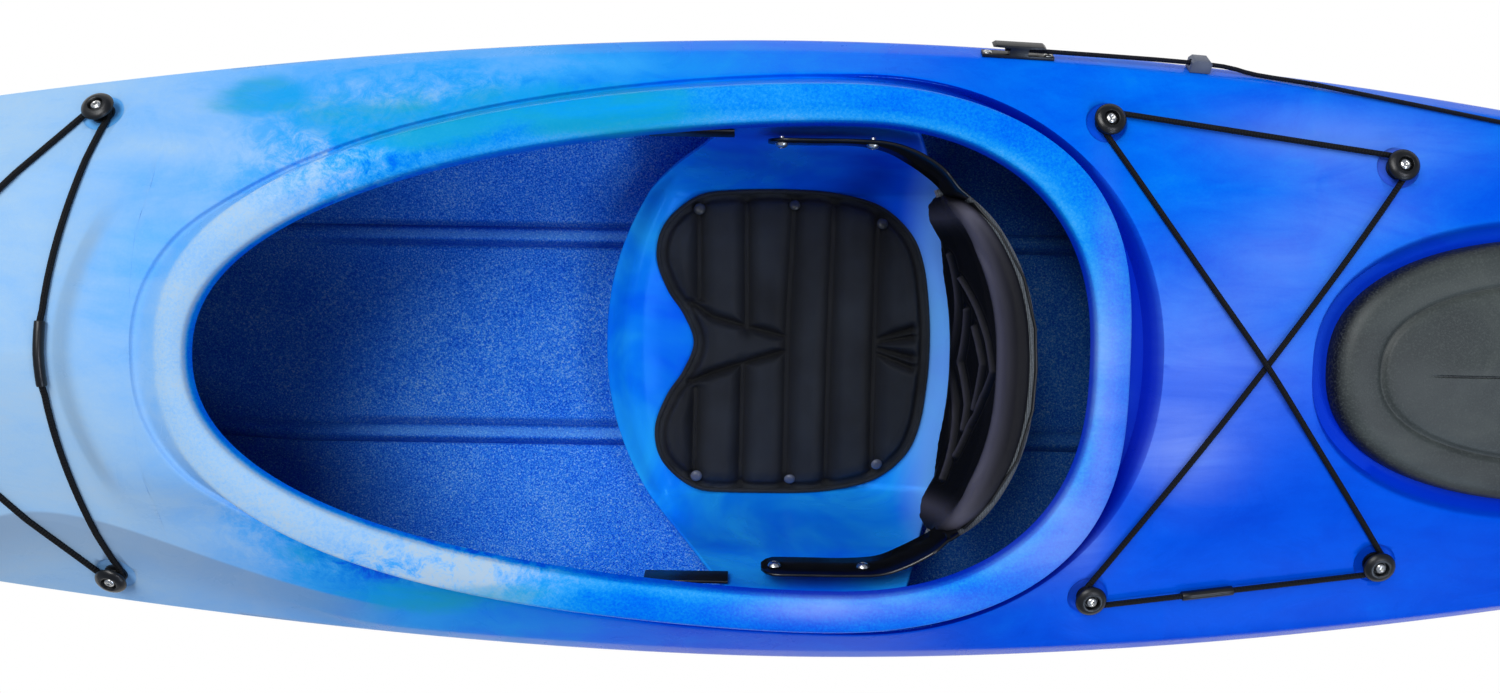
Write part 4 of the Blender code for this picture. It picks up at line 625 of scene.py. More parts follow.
rim = {
    "foot": (-0.505, 0.448, 0.272, 0.150, (1.90, 0.404), (2.20, 0.470)),
    "base": (-0.500, 0.4165, 0.2685, 0.150, (1.90, 0.404), (2.20, 0.450)),
    "edge": (-0.4775, 0.4125, 0.2575, 0.135, (1.90, 0.404), (2.20, 0.330)),
    "inner": (-0.4555, 0.3810, 0.2245, 0.141, (1.87, 0.447), (2.23, 0.396)),
    "mouth": (-0.4515, 0.3770, 0.2205, 0.141, (1.87, 0.447), (2.23, 0.396)),
    "front": 0.345,
    "side": 0.300,
    "rear": 0.285,
    "rise": (0.02, 0.51),
    "fall": (0.10, 0.31),
    "lip": 0.016,
    "round": 0.003,
    "gutter": 0.0225,
    "crease": 0.0036,
}
hatch = {
    "x": 0.837,
    "halfLength": 0.240,
    "halfWidth": 0.131,
    "recess": 0.0135,
    "floor": 0.254,
    "rimHeight": 0.014,
    "rimInset": 0.012,
    "rimWidth": 0.014,
    "height": 0.026,
    "panel": 0.048,
}


def halfBeam(x):
    half = hull["length"] / 2
    bow = x < hull["widest"]
    tip = -half if bow else half
    share = abs(x - hull["widest"]) / (abs(tip - hull["widest"]) + hull["overrun"])
    power = hull["bowPower"] if bow else hull["sternPower"]
    tapered = hull["beam"] / 2 * (1 - share**power) ** hull["taper"]
    fromTip = min(abs(tip - x) / hull["tip"], 1.0)
    blunt = hull["tip"] * math.sqrt(max(0.0, 1 - (1 - fromTip) ** 2))
    return max(tapered, blunt) if fromTip >= 1.0 else blunt


def endShare(x):
    tip = -hull["length"] / 2 if x < hull["widest"] else hull["length"] / 2
    return abs(x - hull["widest"]) / abs(tip - hull["widest"])


def keelHeight(x):
    half = hull["length"] / 2
    past = max(0.0, abs(x) - keel["flat"]) / (half - keel["flat"])
    stem = max(0.0, abs(x) - (half - keel["stem"])) / keel["stem"]
    (rise, power), (stemRise, stemPower) = keel["rise"], keel["stemRise"]
    return rise * past**power + stemRise * stem**stemPower


def sheerHeight(x):
    top = sheer["bow"] if x < hull["widest"] else sheer["stern"]
    return sheer["middle"] + (top - sheer["middle"]) * endShare(x) ** sheer["power"]


def deckEdge(x):
    start, length, power = deck["sweep"]
    sweep = min(max((x - start) / length, 0.0), 1.0)
    share = mix(deck["narrow"], deck["wide"], math.sin(math.pi / 2 * sweep) ** power)
    beam = halfBeam(x)
    width = share * beam
    rise = deck["edgeRise"] * beam / (hull["beam"] / 2)
    return width, sheerHeight(x) + deck["edgeSlope"] * (beam - width) + rise


def deckMiddle(x):
    foot = rim["foot"]
    if x < foot[0]:
        return mix(deck["front"], deck["bow"], (foot[0] - x) / (hull["length"] / 2 + foot[0]))
    return mix(deck["front"], deck["rear"], smoothStep((x - foot[0]) / (foot[1] - foot[0])))


def deckHeight(x, y):
    width, edge = deckEdge(x)
    if width < 1e-6:
        return deckMiddle(x)
    share = min(abs(y) / width, 1.0)
    top = max(deckMiddle(x), edge)
    front = cowl["x"] + cowl["bow"] * (y / cowl["half"]) ** 2
    side = 1 - smoothStep((abs(y) - cowl["half"] + cowl["soft"] / 2) / cowl["soft"])
    rear, length = cowl["rear"]
    raised = cowl["height"] * smoothStep((x - front) / cowl["ramp"]) * side
    raised *= 1 - smoothStep((x - rear) / length)
    start, length = deck["crownTurn"]
    crown = mix(*deck["crowns"], smoothStep((x - start) / length))
    return edge + (top - edge) * (1 - share**crown) + raised


def ovalPoint(oval, angle):
    # An oval is its front, rear, half width and widest place, then the powers of its two ends
    front, rear, half, widest, frontPowers, rearPowers = oval
    forward = angle < math.pi / 2
    power, bulge = frontPowers if forward else rearPowers
    share = abs(math.cos(angle)) ** (2 / power)
    x = widest - (widest - front) * share if forward else widest + (rear - widest) * share
    return x, half * abs(math.sin(angle)) ** (2 * bulge)


def ovalPoints(oval, count, samples=2400):
    # Half of the oval in equal steps of its length
    dense = np.array([ovalPoint(oval, math.pi * i / samples) for i in range(samples + 1)])
    dense[0] = (oval[0], 0.0)
    dense[-1] = (oval[1], 0.0)
    run = np.concatenate([[0.0], np.cumsum(np.linalg.norm(np.diff(dense, axis=0), axis=1))])
    targets = np.linspace(0.0, run[-1], count + 1)
    return np.column_stack([np.interp(targets, run, dense[:, i]) for i in (0, 1)])


def hatchOval(inset):
    x, long, wide = hatch["x"], hatch["halfLength"] - inset, hatch["halfWidth"] - inset
    return (x - long + 0.007, x + long, wide + 0.003, x, (2.2, 0.42), (2.1, 0.5))


def rimTop(x):
    (frontX, frontLength), (rearX, rearLength) = rim["rise"], rim["fall"]
    front = smoothStep((frontX - x) / frontLength)
    rear = smoothStep((x - rearX) / rearLength)
    return mix(rim["side"], rim["front"], front) - (rim["side"] - rim["rear"]) * rear


def hullSection(x, innerY):
    # Starboard half of a section, from the keel to the deck's middle or the foot of an opening
    beam = halfBeam(x)
    flat = min(keel["half"], 0.22 * beam)
    low, high = keelHeight(x), sheerHeight(x)
    rib = min(ribs["y"], ribs["share"] * beam)
    fadeStart, fadeLength = ribs["fade"]
    fade = 1 - smoothStep((abs(x) - fadeStart) / fadeLength)
    half = ribs["half"] * min(1.0, beam / (hull["beam"] / 2) * 1.2)
    power = mix(2.5, 1.6, endShare(x) ** 1.5)

    def bottom(y):
        share = min(max((y - flat) / max(beam - flat, 1e-9), 0.0), 1.0)
        return high - (high - low) * (1 - share**power) ** (1 / power)

    points = [(x, flat * s, low) for s in (0.0, 0.5, 1.0)]
    points += [(x, y, bottom(y)) for y in (mix(flat, rib - half, s) for s in (0.4, 0.8))]
    for s in (0.0, 0.17, 0.34, 0.5, 0.66, 0.83, 1.0):
        y = rib + half * (2 * s - 1)
        points.append((x, y, bottom(y) + hull["rib"] * fade * math.sin(math.pi * s) ** ribs["roundness"]))
    start = math.asin(min(1.0, max((rib + half - flat) / max(beam - flat, 1e-9), 0.0) ** (power / 2)))
    for k in range(1, 12):
        angle = mix(start, math.pi / 2, k / 11)
        share = math.sin(angle) ** (2 / power)
        y = mix(flat, beam, share)
        points.append((x, y, high - (high - low) * max(math.cos(angle), 0.0) ** (2 / power)))
    width, edge = deckEdge(x)
    for s in (0.14, 0.34, 0.60, 0.82, 1.0):
        points.append((x, mix(beam, width, s), mix(high, edge, s)))
    lift = deck["rimLift"] * (innerY / rim["foot"][2]) ** 3
    for k in range(1, 15):
        share = 0.5 + 0.5 * math.cos(math.pi * k / 14)
        y = mix(innerY, width, share)
        points.append((x, y, deckHeight(x, y) + lift * (1 - share)))
    return points


def between(points, a, b, shares):
    for s in shares:
        points.append(tuple(mix(p, q, s) for p, q in zip(a, b)))


ovalNames = ("foot", "base", "edge", "inner", "mouth")
rimOvals = {key: ovalPoints(rim[key], hull["cockpitSteps"]) for key in ovalNames}


def rimSection(i, foot):
    # The row goes on from the deck over the gutter and the rim, down to the cockpit's mouth
    x, y, z = foot
    depth = rim["gutter"] * smoothStep((x - 0.10) / 0.20) + rim["crease"]
    base, edge, inner, mouth = (rimOvals[key][i] for key in ("base", "edge", "inner", "mouth"))
    floorOuter = (mix(x, base[0], 0.35), mix(y, base[1], 0.35), z - depth)
    floorInner = (*base, z - depth)
    top = (*edge, rimTop(edge[0]) - rim["round"])
    middle = ((edge + inner) / 2).tolist()
    crest = (*middle, rimTop(middle[0]))
    turn = (*inner, rimTop(inner[0]) - rim["round"])
    end = (*mouth, rimTop(mouth[0]) - rim["lip"])
    points = []
    between(points, foot, floorOuter, (0.34, 0.67, 1.0))
    between(points, floorOuter, floorInner, (0.5, 1.0))
    between(points, floorInner, top, (0.2, 0.4, 0.6, 0.8, 0.92, 1.0))
    between(points, top, crest, (0.15, 0.4, 0.7, 1.0))
    between(points, crest, turn, (0.3, 0.6, 0.85, 1.0))
    between(points, turn, end, (0.12, 0.3, 0.6, 1.0))
    return points


def hatchSection(i, foot, ovals):
    # The row goes on from the deck into the hatch's recess and over its rim
    floor, outside, inside = (ovals[k][i] for k in range(3))
    low, high = hatch["floor"], hatch["floor"] + hatch["rimHeight"]
    points = []
    between(points, foot, (*floor, low), (0.3, 0.65, 1.0))
    between(points, (*floor, low), (*outside, low), (0.5, 1.0))
    between(points, (*outside, low), (*outside, high), (0.5, 1.0))
    between(points, (*outside, high), (*inside, high), (0.5, 1.0))
    between(points, (*inside, high), (*inside, low - hatch["rimHeight"]), (0.5, 1.0))
    return points


def softened(row, window):
    # A row averaged along its own length, which rounds its corners
    points = np.array(row)
    run = np.concatenate([[0.0], np.cumsum(np.linalg.norm(np.diff(points, axis=0), axis=1))])
    total = run[-1]
    result = np.zeros_like(points)
    for offset, weight in hull["softWeights"]:
        at = run + offset * window
        inside = np.clip(at, 0.0, total)
        value = np.column_stack([np.interp(inside, run, points[:, k]) for k in range(3)])
        under, over = at < 0.0, at > total
        for mask, end, mirrored in ((under, points[0], -at), (over, points[-1], 2 * total - at)):
            if mask.any():
                other = np.clip(mirrored[mask], 0.0, total)
                reflect = np.column_stack([np.interp(other, run, points[:, k]) for k in range(3)])
                value[mask] = 2 * end - reflect
        result += weight * value
    result[:, 0] = np.where(np.ptp(points[:, 0]) < 1e-9, points[:, 0], result[:, 0])
    result[0, 1] = 0.0
    if abs(points[-1, 1]) < 1e-9:
        result[-1, 1] = 0.0
    return result


def hullRows():
    half = hull["length"] / 2
    foot = rimOvals["foot"]
    rows = []
    tips = hull["tipSteps"]
    bow = [-half + d for d in tips] + list(np.linspace(-half + 0.15, -0.66, 34))
    bow += list(np.linspace(-0.645, -0.5125, 20))
    rows += [("plain", hullSection(x, 0.0)) for x in bow]
    for i, (x, y) in enumerate(foot):
        row = hullSection(x, y)
        rows.append(("rim", row + rimSection(i, row[-1])))
    hatchFoot = ovalPoints(hatchOval(-hatch["recess"]), hull["hatchSteps"])
    insets = (-hatch["recess"] / 2, hatch["rimInset"], hatch["rimInset"] + hatch["rimWidth"])
    ovals = [ovalPoints(hatchOval(k), hull["hatchSteps"]) for k in insets]
    rows += [("plain", hullSection(x, 0.0)) for x in np.linspace(0.455, hatchFoot[0][0] - 0.008, 13)]
    for i, (x, y) in enumerate(hatchFoot):
        row = hullSection(x, y)
        rows.append(("hatch", row + hatchSection(i, row[-1], ovals)))
    stern = list(np.linspace(hatchFoot[-1][0] + 0.015, half - 0.15, 30))
    stern += [half - d for d in reversed(tips)]
    rows += [("plain", hullSection(x, 0.0)) for x in stern]
    result = []
    for kind, row in rows:
        ends = kind != "plain" and abs(row[-1][1]) < 1e-6
        soft = softened(row, hull["soft"])
        if ends:
            soft[len(rows[0][1]) - 1 :, 1] = 0.0
        result.append((kind, soft))
    return result


# The hull's paint. A curve gives the fade at some x, from 0 for royal blue to 1 for near white, and a spot
# is its middle x and y, its reach in x and y, and its weight. The fade is the plastic's own run of colour,
# with painted shade that keeps the port side darker than the starboard side
fadeCurves = {
    "starboard": (
        (-0.75, 0.94), (-0.59, 0.82), (-0.48, 0.72), (-0.40, 0.64), (-0.30, 0.60), (-0.19, 0.53),
        (-0.12, 0.39), (0.02, 0.245), (0.16, 0.205), (0.8, 0.19),
    ),
    "port": (
        (-0.75, 0.94), (-0.52, 0.86), (-0.44, 0.72), (-0.36, 0.46), (-0.22, 0.37), (-0.10, 0.24),
        (0.02, 0.13), (0.8, 0.07),
    ),
    "starboardRim": (
        (-0.38, 0.88), (-0.33, 0.64), (-0.27, 0.42), (-0.19, 0.35), (0.0, 0.36), (0.2, 0.28),
        (0.45, 0.30),
    ),
    "portRim": (
        (-0.24, 0.88), (-0.18, 0.78), (-0.14, 0.44), (-0.05, 0.27), (0.12, 0.21), (0.45, 0.22),
    ),
}
fadeSpots = (
    (-0.52, 0.10, 0.05, 0.16, -0.07), (-0.50, 0.19, 0.06, 0.012, 0.16),
    (-0.30, -0.205, 0.030, 0.020, -0.26), (-0.19, -0.20, 0.060, 0.018, 0.12),
    (-0.10, 0.28, 0.16, 0.016, 0.14), (-0.27, 0.272, 0.10, 0.020, -0.10),
    (-0.56, -0.24, 0.12, 0.04, -0.08),
)
tealSpots = (
    (-0.415, 0.245, 0.055, 0.024, 0.95), (-0.33, 0.215, 0.050, 0.018, 0.55),
    (-0.26, 0.205, 0.070, 0.022, 0.85), (-0.16, 0.240, 0.160, 0.030, 0.55),
    (-0.08, 0.225, 0.110, 0.026, 0.60), (-0.37, -0.190, 0.035, 0.016, 0.60),
    (-0.27, -0.240, 0.100, 0.020, 0.85), (-0.17, -0.215, 0.070, 0.014, 0.45),
)
spatterSpots = (
    (-0.33, 0.185, 0.080, 0.050, 0.75), (-0.24, -0.195, 0.120, 0.030, 0.90),
    (-0.40, -0.150, 0.060, 0.040, 0.30), (-0.22, 0.245, 0.120, 0.030, 0.35),
)
# Spots of painted sheen: pale lilac patches that stand in for the lamps mirrored in the gloss
paintedSheenSpots = (
    (0.468, -0.081, 0.050, 0.036, 0.42), (0.470, 0.010, 0.110, 0.070, 0.30),
    (0.320, -0.182, 0.060, 0.026, 0.26), (0.357, -0.145, 0.032, 0.040, 0.42),
    (0.115, -0.234, 0.055, 0.011, 0.42), (0.190, -0.227, 0.090, 0.012, 0.26),
    (0.386, -0.020, 0.014, 0.130, 0.36), (0.560, 0.225, 0.070, 0.024, 0.16),
    (0.650, 0.215, 0.080, 0.030, 0.22), (0.560, 0.104, 0.060, 0.040, 0.20),
    (0.630, 0.150, 0.060, 0.030, 0.16),
)


def spotSum(x, y, spots):
    total = np.zeros(len(x))
    for cx, cy, sx, sy, weight in spots:
        total += weight * np.exp(-(((x - cx) / sx) ** 2) - ((y - cy) / sy) ** 2)
    return total


def smoothSteps(values):
    t = np.clip(values, 0.0, 1.0)
    return t * t * (3.0 - 2.0 * t)


def paintHull(obj):
    data = obj.data
    count = len(data.vertices)
    co = coordinates(obj)
    x, y = co[:, 0], co[:, 1]
    zone = np.zeros(count)
    data.attributes["zone"].data.foreach_get("value", zone)
    gutter = np.zeros(count)
    data.attributes["gutter"].data.foreach_get("value", gutter)
    pocketShade = np.zeros(count)
    for place in knobs.values():
        away = np.linalg.norm(co - np.array(place.translation), axis=1)
        zone[away < 0.03] = 0.0
        gutter[away < 0.03] = 0.0
        pocketShade[away < hull["pocketRadius"] - 0.0006] = 1.0
    data.attributes["gutter"].data.foreach_set("value", gutter.astype(np.float32))
    zone[co[:, 2] < 0.2] = 0.0
    side = smoothSteps((y + 0.07) / 0.14)
    curves = {key: np.interp(x, *zip(*stops)) for key, stops in fadeCurves.items()}
    onDeck = curves["port"] + (curves["starboard"] - curves["port"]) * side
    onRim = curves["portRim"] + (curves["starboardRim"] - curves["portRim"]) * side
    rimShare = np.clip(zone, 0.0, 1.0)
    fade = onDeck + (onRim - onDeck) * rimShare + spotSum(x, y, fadeSpots)
    fade += (0.20 - fade) * np.clip(zone - 1.0, 0.0, 1.0)
    # Painted shade: darker in the knobs' pockets
    fade -= 0.15 * pocketShade
    values = {
        "fade": fade,
        "teal": spotSum(x, y, tealSpots),
        "spatter": spotSum(x, y, spatterSpots),
        "haze": np.clip(spotSum(x, y, paintedSheenSpots), 0.0, 0.6) * (co[:, 2] > 0.2),
        "rim": rimShare,
    }
    for key, value in values.items():
        layer = data.attributes.new(key, "FLOAT", "POINT")
        layer.data.foreach_set("value", value.astype(np.float32))
    data.attributes.remove(data.attributes["zone"])


# Where the gutter's and the lip's painted shade and the rim's painted highlight lie, counted in points past
# the deck, and in x
rimPaint = {
    "lip": 19.5,
    "zone": 7.5,
    "gutterStart": -2.4,
    "gutterEnd": (3.0, 6.0),
    "gutterEndX": (0.30, 0.08),
    "gutterX": {1.0: 0.14, -1.0: 0.08},
    "gutterLength": 0.16,
    "shine": 17,
}


def buildHull():
    rows = hullRows()
    plainCount = len(rows[0][1])
    mesh = bmesh.new()
    zone = mesh.verts.layers.float.new("zone")
    gutter = mesh.verts.layers.float.new("gutter")
    shine = mesh.verts.layers.float.new("shine")
    for side in (1.0, -1.0):
        verts = []
        for kind, row in rows:
            line = []
            for j, (x, y, z) in enumerate(row):
                vert = mesh.verts.new((x, side * y, z))
                past = j - plainCount
                if kind == "rim" and past >= -1:
                    lipped = smoothStep((past - rimPaint["lip"]) / 2)
                    vert[zone] = smoothStep((past - rimPaint["zone"]) / 2.5) + lipped
                    # Painted shade in the gutter behind the rim, and on the lip's wall towards the rear
                    wall = rimPaint["gutterEnd"][1]
                    if side > 0:
                        startX, length = rimPaint["gutterEndX"]
                        wall = mix(*rimPaint["gutterEnd"], smoothStep((x - startX) / length))
                    deep = smoothStep((past - rimPaint["gutterStart"]) / 3.2)
                    deep *= 1 - smoothStep((past - wall) / 3)
                    deep *= smoothStep((x - rimPaint["gutterX"][side]) / rimPaint["gutterLength"])
                    vert[gutter] = max(0.94 * deep, 0.9 * lipped * smoothStep((x + 0.20) / 0.30))
                    # Painted highlight along the rim's inner rounding, behind its pale front
                    middle = smoothStep(1 - abs(past - rimPaint["shine"]) / 2.5)
                    vert[shine] = middle * smoothStep((x + 0.30) / 0.20)
                if kind == "hatch" and past >= 0:
                    # Painted shade in the hatch's recess and over its rim
                    vert[gutter] = 0.35 + 0.5 * smoothStep(past / 3)
                line.append(vert)
            verts.append(line)
        for here, there in zip(verts, verts[1:]):
            for j in range(min(len(here), len(there)) - 1):
                quad = (here[j], here[j + 1], there[j + 1], there[j])
                mesh.faces.new(quad if side > 0 else tuple(reversed(quad)))
    bmesh.ops.remove_doubles(mesh, verts=mesh.verts, dist=1e-5)
    bmesh.ops.dissolve_degenerate(mesh, edges=mesh.edges, dist=1e-6)
    obj = makeObject("hull_skin", mesh, [hullOutside, hullInside])
    walled(obj, hull["wall"]).material_offset = 1
    return applied(obj)


hullSkin = buildHull()
say("hull surface")
knobNames = [(p, s) for p in ("bow", "front", "middle", "rear") for s in ("starboard", "port")]
screwDepth = 0.012  # from a screw's tip up to the deck


def knobPlaces():
    places = {}
    for key in knobNames:
        centre, axis, low, _ = axisOf(f"deck_knob_screw_{key[0]}_{key[1]}", (0, 0, 1))
        places[key] = frameAt(centre + axis * (low + screwDepth), axis)
    return places


knobs = knobPlaces()


def cutHull():
    # Flat seats under the knobs and the slot that the skeg drops through
    mesh = bmesh.new()
    deep, radius = hull["pocketDepth"] * 0.4, hull["pocketRadius"]
    profile = (
        (0.0, -deep),
        (radius - 0.0030, -deep),
        (radius - 0.0012, -deep + 0.0005),
        (radius, -deep + 0.0018),
        (radius + 0.0010, 0.0036),
        (radius + 0.0010, 0.030),
        (0.0, 0.030),
    )
    for place in knobs.values():
        spinProfile(mesh, profile, 40)
        fresh = [v for v in mesh.verts if not v.tag]
        bmesh.ops.transform(mesh, matrix=place, verts=fresh)
        for v in fresh:
            v.tag = True
    slot = bmesh.ops.create_cube(mesh, size=1.0)["verts"]
    bmesh.ops.scale(mesh, vec=hull["skegSlot"], verts=slot)
    bmesh.ops.translate(mesh, vec=hull["skegPlace"], verts=slot)
    bmesh.ops.remove_doubles(mesh, verts=mesh.verts, dist=1e-6)
    bmesh.ops.recalc_face_normals(mesh, faces=mesh.faces)
    cutter = makeObject("hull_cutter", mesh, hullOutside)
    cut = hullSkin.modifiers.new("pockets", "BOOLEAN")
    cut.operation = "DIFFERENCE"
    cut.solver = "EXACT"
    cut.object = cutter
    applied(hullSkin)
    bpy.data.objects.remove(cutter)


cutHull()
paintHull(hullSkin)
hullSkin.data.set_sharp_from_angle(angle=math.radians(50))
settle(hullSkin, "hull", "hull_plastic", "hull_shell")
hullTree = BVHTree.FromObject(hullSkin, bpy.context.evaluated_depsgraph_get())
say("hull pockets")


# Seat

seat = {
    "front": -0.108,
    "frontSweep": 0.141,
    "rear": 0.300,
    "rearSweep": 0.095,
    "wall": 0.004,
    "pan": 0.168,
    "panShare": 0.60,
    "height": 0.040,
    "wingTop": 0.288,
    "wing": 0.2125,
    "wingFlare": 1.8,
    "wingCurve": 1.3,
    "frontRise": 0.050,
    "rearRise": 0.022,
    "lipDrop": 0.016,
    "tuck": 0.0080,
    "rimOverlap": 0.0022,
    "cornerTuck": 0.005,
    "sideBulge": 0.0042,
}


def seatPoint(row, column):
    # row runs from the front lip to the rear edge, column from the middle to the top of a wing
    front = seat["front"] + seat["frontSweep"] * column**2.2
    rear = seat["rear"] - seat["rearSweep"] * column**2
    x = mix(front, rear, row)
    inPan = min(column / seat["panShare"], 1.0)
    rise = seat["frontRise"] * (1 - smoothStep(row / 0.45)) + seat["rearRise"] * smoothStep((row - 0.7) / 0.3)
    pan = seat["height"] + rise * (1 - smoothStep((column - seat["panShare"]) / 0.25))
    rolled = (1 - smoothStep(row / 0.08)) * (1 - smoothStep((column - seat["panShare"]) / 0.3))
    lip = seat["lipDrop"] * rolled
    if column <= seat["panShare"]:
        return x, seat["pan"] * inPan, pan - lip
    share = (column - seat["panShare"]) / (1 - seat["panShare"])
    y = mix(seat["pan"], seat["wing"], 1 - (1 - share) ** seat["wingFlare"])
    rose = (seat["wingTop"] - seat["height"]) * share ** seat["wingCurve"]
    y -= seat["cornerTuck"] * share * abs(2 * row - 1) ** 4
    y += seat["sideBulge"] * smoothStep((share - 0.8) / 0.2) * (1 - (2 * row - 1) ** 2)
    return x, y, pan - lip + rose * (seat["wingTop"] - pan) / (seat["wingTop"] - seat["height"])


def buildSeat():
    rowShares = [0.0, 0.008, 0.018, 0.03, 0.044, 0.06, 0.08] + list(np.linspace(0.11, 1.0, 38))
    columns = list(np.linspace(0.0, 0.6, 22)) + list(np.linspace(0.6, 1.0, 24))[1:]
    mouth = rimOvals["mouth"]
    mesh = bmesh.new()
    for side in (1, -1):
        rows = [[seatPoint(r, c) for c in columns] for r in rowShares]
        for row in rows:
            for j, (column, (x, y, z)) in enumerate(zip(columns, row)):
                tuck = smoothStep((column - 0.86) / 0.14)
                edge = float(np.interp(x, mouth[:, 0], mouth[:, 1])) + seat["rimOverlap"]
                row[j] = (x, mix(y, edge, tuck), z - seat["tuck"] * tuck)
        rows = [[(x, side * y, z) for x, y, z in row] for row in rows]
        if side > 0:
            rows = [list(reversed(row)) for row in rows]
        skinRows(mesh, rows)
    bmesh.ops.remove_doubles(mesh, verts=mesh.verts, dist=1e-5)
    obj = makeObject("seat_moulding", mesh, seatPlastic)
    walled(obj, seat["wall"])
    bevel = obj.modifiers.new("edges", "BEVEL")
    bevel.width = 0.0012
    bevel.segments = 2
    bevel.limit_method = "ANGLE"
    bevel.angle_limit = math.radians(50)
    applied(obj)
    obj.data.set_sharp_from_angle(angle=math.radians(50))
    return obj


seatSkin = buildSeat()
settle(seatSkin, "hull", "seat_plastic", "seat_shell")
seatTree = BVHTree.FromObject(seatSkin, bpy.context.evaluated_depsgraph_get())
say("seat")


def seatHeight(x, y):
    hit = seatTree.ray_cast(Vector((x, y, 0.27)), Vector((0.0, 0.0, -1.0)))[0]
    return hit.z if hit is not None else seat["height"]


# Padded pieces


def voxelised(obj, size):
    remesh = obj.modifiers.new("voxels", "REMESH")
    remesh.mode = "VOXEL"
    remesh.voxel_size = size
    return applied(obj)


padCloth = {
    "quality": 5,
    "mass": 0.3,
    "use_pressure": True,
    "uniform_pressure_force": 4.0,
    "tension_stiffness": 12,
    "compression_stiffness": 12,
    "shear_stiffness": 6,
    "bending_stiffness": 0.8,
}
padRun = {"frames": 20, "smoothing": 14, "share": 0.6}


def swell(obj, limit, held):
    # Cloth under pressure gives the fullness; held says how much of it each place keeps
    rest = coordinates(obj)
    cloth = obj.modifiers.new("cloth", "CLOTH")
    for name, value in padCloth.items():
        setattr(cloth.settings, name, value)
    cloth.settings.effector_weights.gravity = 0.0
    for step in range(1, padRun["frames"] + 1):
        scene.frame_set(step)
    depsgraph = bpy.context.evaluated_depsgraph_get()
    moved = np.zeros(len(rest) * 3)
    obj.evaluated_get(depsgraph).data.vertices.foreach_get("co", moved)
    shift = moved.reshape(-1, 3) - rest
    pairs = np.zeros(len(obj.data.edges) * 2, dtype=np.int32)
    obj.data.edges.foreach_get("vertices", pairs)
    first, second = pairs.reshape(-1, 2).T
    ends = np.concatenate([first, second])
    others = np.concatenate([second, first])
    share = np.bincount(ends, minlength=len(rest))[:, None]
    for _ in range(padRun["smoothing"]):
        total = np.column_stack([np.bincount(ends, shift[others, k], len(rest)) for k in range(3)])
        shift = mix(shift, total / np.maximum(share, 1), padRun["share"])
    length = np.linalg.norm(shift, axis=1, keepdims=True)
    shift *= np.minimum(1.0, limit / np.maximum(length, 1e-9))
    obj.modifiers.remove(cloth)
    scene.frame_set(1)
    new = rest + shift * held(rest)[:, None]
    obj.data.vertices.foreach_set("co", new.ravel())
    obj.data.update()


def divided(obj):
    part = obj.modifiers.new("finer", "SUBSURF")
    part.levels = 1
    part.render_levels = 1
    return applied(obj)


def setAttribute(obj, name, values):
    layer = obj.data.attributes.new(name, "FLOAT", "POINT")
    layer.data.foreach_set("value", np.asarray(values, dtype=np.float32))


def lineDistance(p, line):
    best = np.full(len(p), 9.0)
    for a, b in zip(line, line[1:]):
        a, b = np.array(a), np.array(b)
        t = np.clip(((p - a) @ (b - a)) / ((b - a) @ (b - a)), 0.0, 1.0)
        best = np.minimum(best, np.linalg.norm(p - (a + t[:, None] * (b - a)), axis=1))
    return best


def sewn(obj, co, material):
    # The padded piece with its stitched shape and one cloth
    obj.data.vertices.foreach_set("co", co.ravel())
    obj.data.update()
    obj.data.shade_smooth()
    obj.data.materials.clear()
    obj.data.materials.append(material)


# Channels run across the pad and flutes along it, each a line of places in x and y
padShape = {
    "outline": (
        (-0.0095, 0.0), (-0.021, 0.031), (-0.039, 0.058), (-0.051, 0.093), (-0.042, 0.128),
        (-0.008, 0.157), (0.036, 0.165), (0.098, 0.167), (0.155, 0.163), (0.200, 0.150), (0.232, 0.122),
        (0.247, 0.088), (0.254, 0.041),
    ),
    "rear": (0.256, 0.0),
    "widen": 1.035,
    "thickness": 0.0150,
    "flangeThickness": 0.0045,
    "voxel": 0.0030,
    "lift": 0.0009,
    "fullness": 0.0035,
    "channelReach": 0.0190,
    "fluteReach": 0.0095,
    "grooveDepth": 0.0118,
    "ridge": 0.0018,
    "ridgeWidth": 0.0013,
    "crown": 0.0016,
    "rimSeam": 0.0105,
    "rimSeamWidth": 0.0022,
    "binding": 0.0026,
    "channels": (
        ((-0.0058, 0.150), (-0.0045, 0.0512)), ((-0.0083, -0.150), (-0.0076, -0.0526)),
        ((0.0469, 0.158), (0.0493, 0.0166)), ((0.0442, -0.158), (0.0453, -0.0254)),
        ((0.1012, 0.160), (0.0958, 0.0153), (0.0955, -0.160)),
        ((0.1461, 0.158), (0.1435, 0.0161), (0.1428, -0.158)),
        ((0.1964, 0.140), (0.1949, 0.0055), (0.195, -0.140)),
    ),
    "flutes": (
        ((-0.013, 0.046), (0.010, 0.030), (0.0515, 0.0178), (0.0937, 0.0073)),
        ((-0.013, -0.044), (0.010, -0.034), (0.0499, -0.0219), (0.094, -0.0090)),
        ((0.1975, 0.0060), (0.236, 0.0187)), ((0.2005, 0.0030), (0.236, 0.0096)),
        ((0.2010, -0.0050), (0.236, -0.0132)), ((0.1985, -0.0105), (0.236, -0.0247)),
    ),
}


def seatHeights(points):
    return np.array([seatHeight(x, y) for x, y, _ in points])


def padFloor(x, y):
    return seatHeight(x, y) + 0.0022 * smoothStep((abs(y) - 0.145) / 0.02)


def padOutline():
    half = [(x, y * padShape["widen"]) for x, y in padShape["outline"]]
    ring = [*half, padShape["rear"], *[(x, -y) for x, y in reversed(half[1:])]]
    return [(p.x, p.y) for p in spline([(x, y, 0.0) for x, y in ring], 8, closed=True)]


def insetRing(ring, inset):
    result = []
    count = len(ring)
    for i, (x, y) in enumerate(ring):
        ax, ay = ring[(i - 2) % count]
        bx, by = ring[(i + 2) % count]
        tangent = Vector((bx - ax, by - ay)).normalized()
        result.append((x - tangent.y * inset, y + tangent.x * inset))
    return result


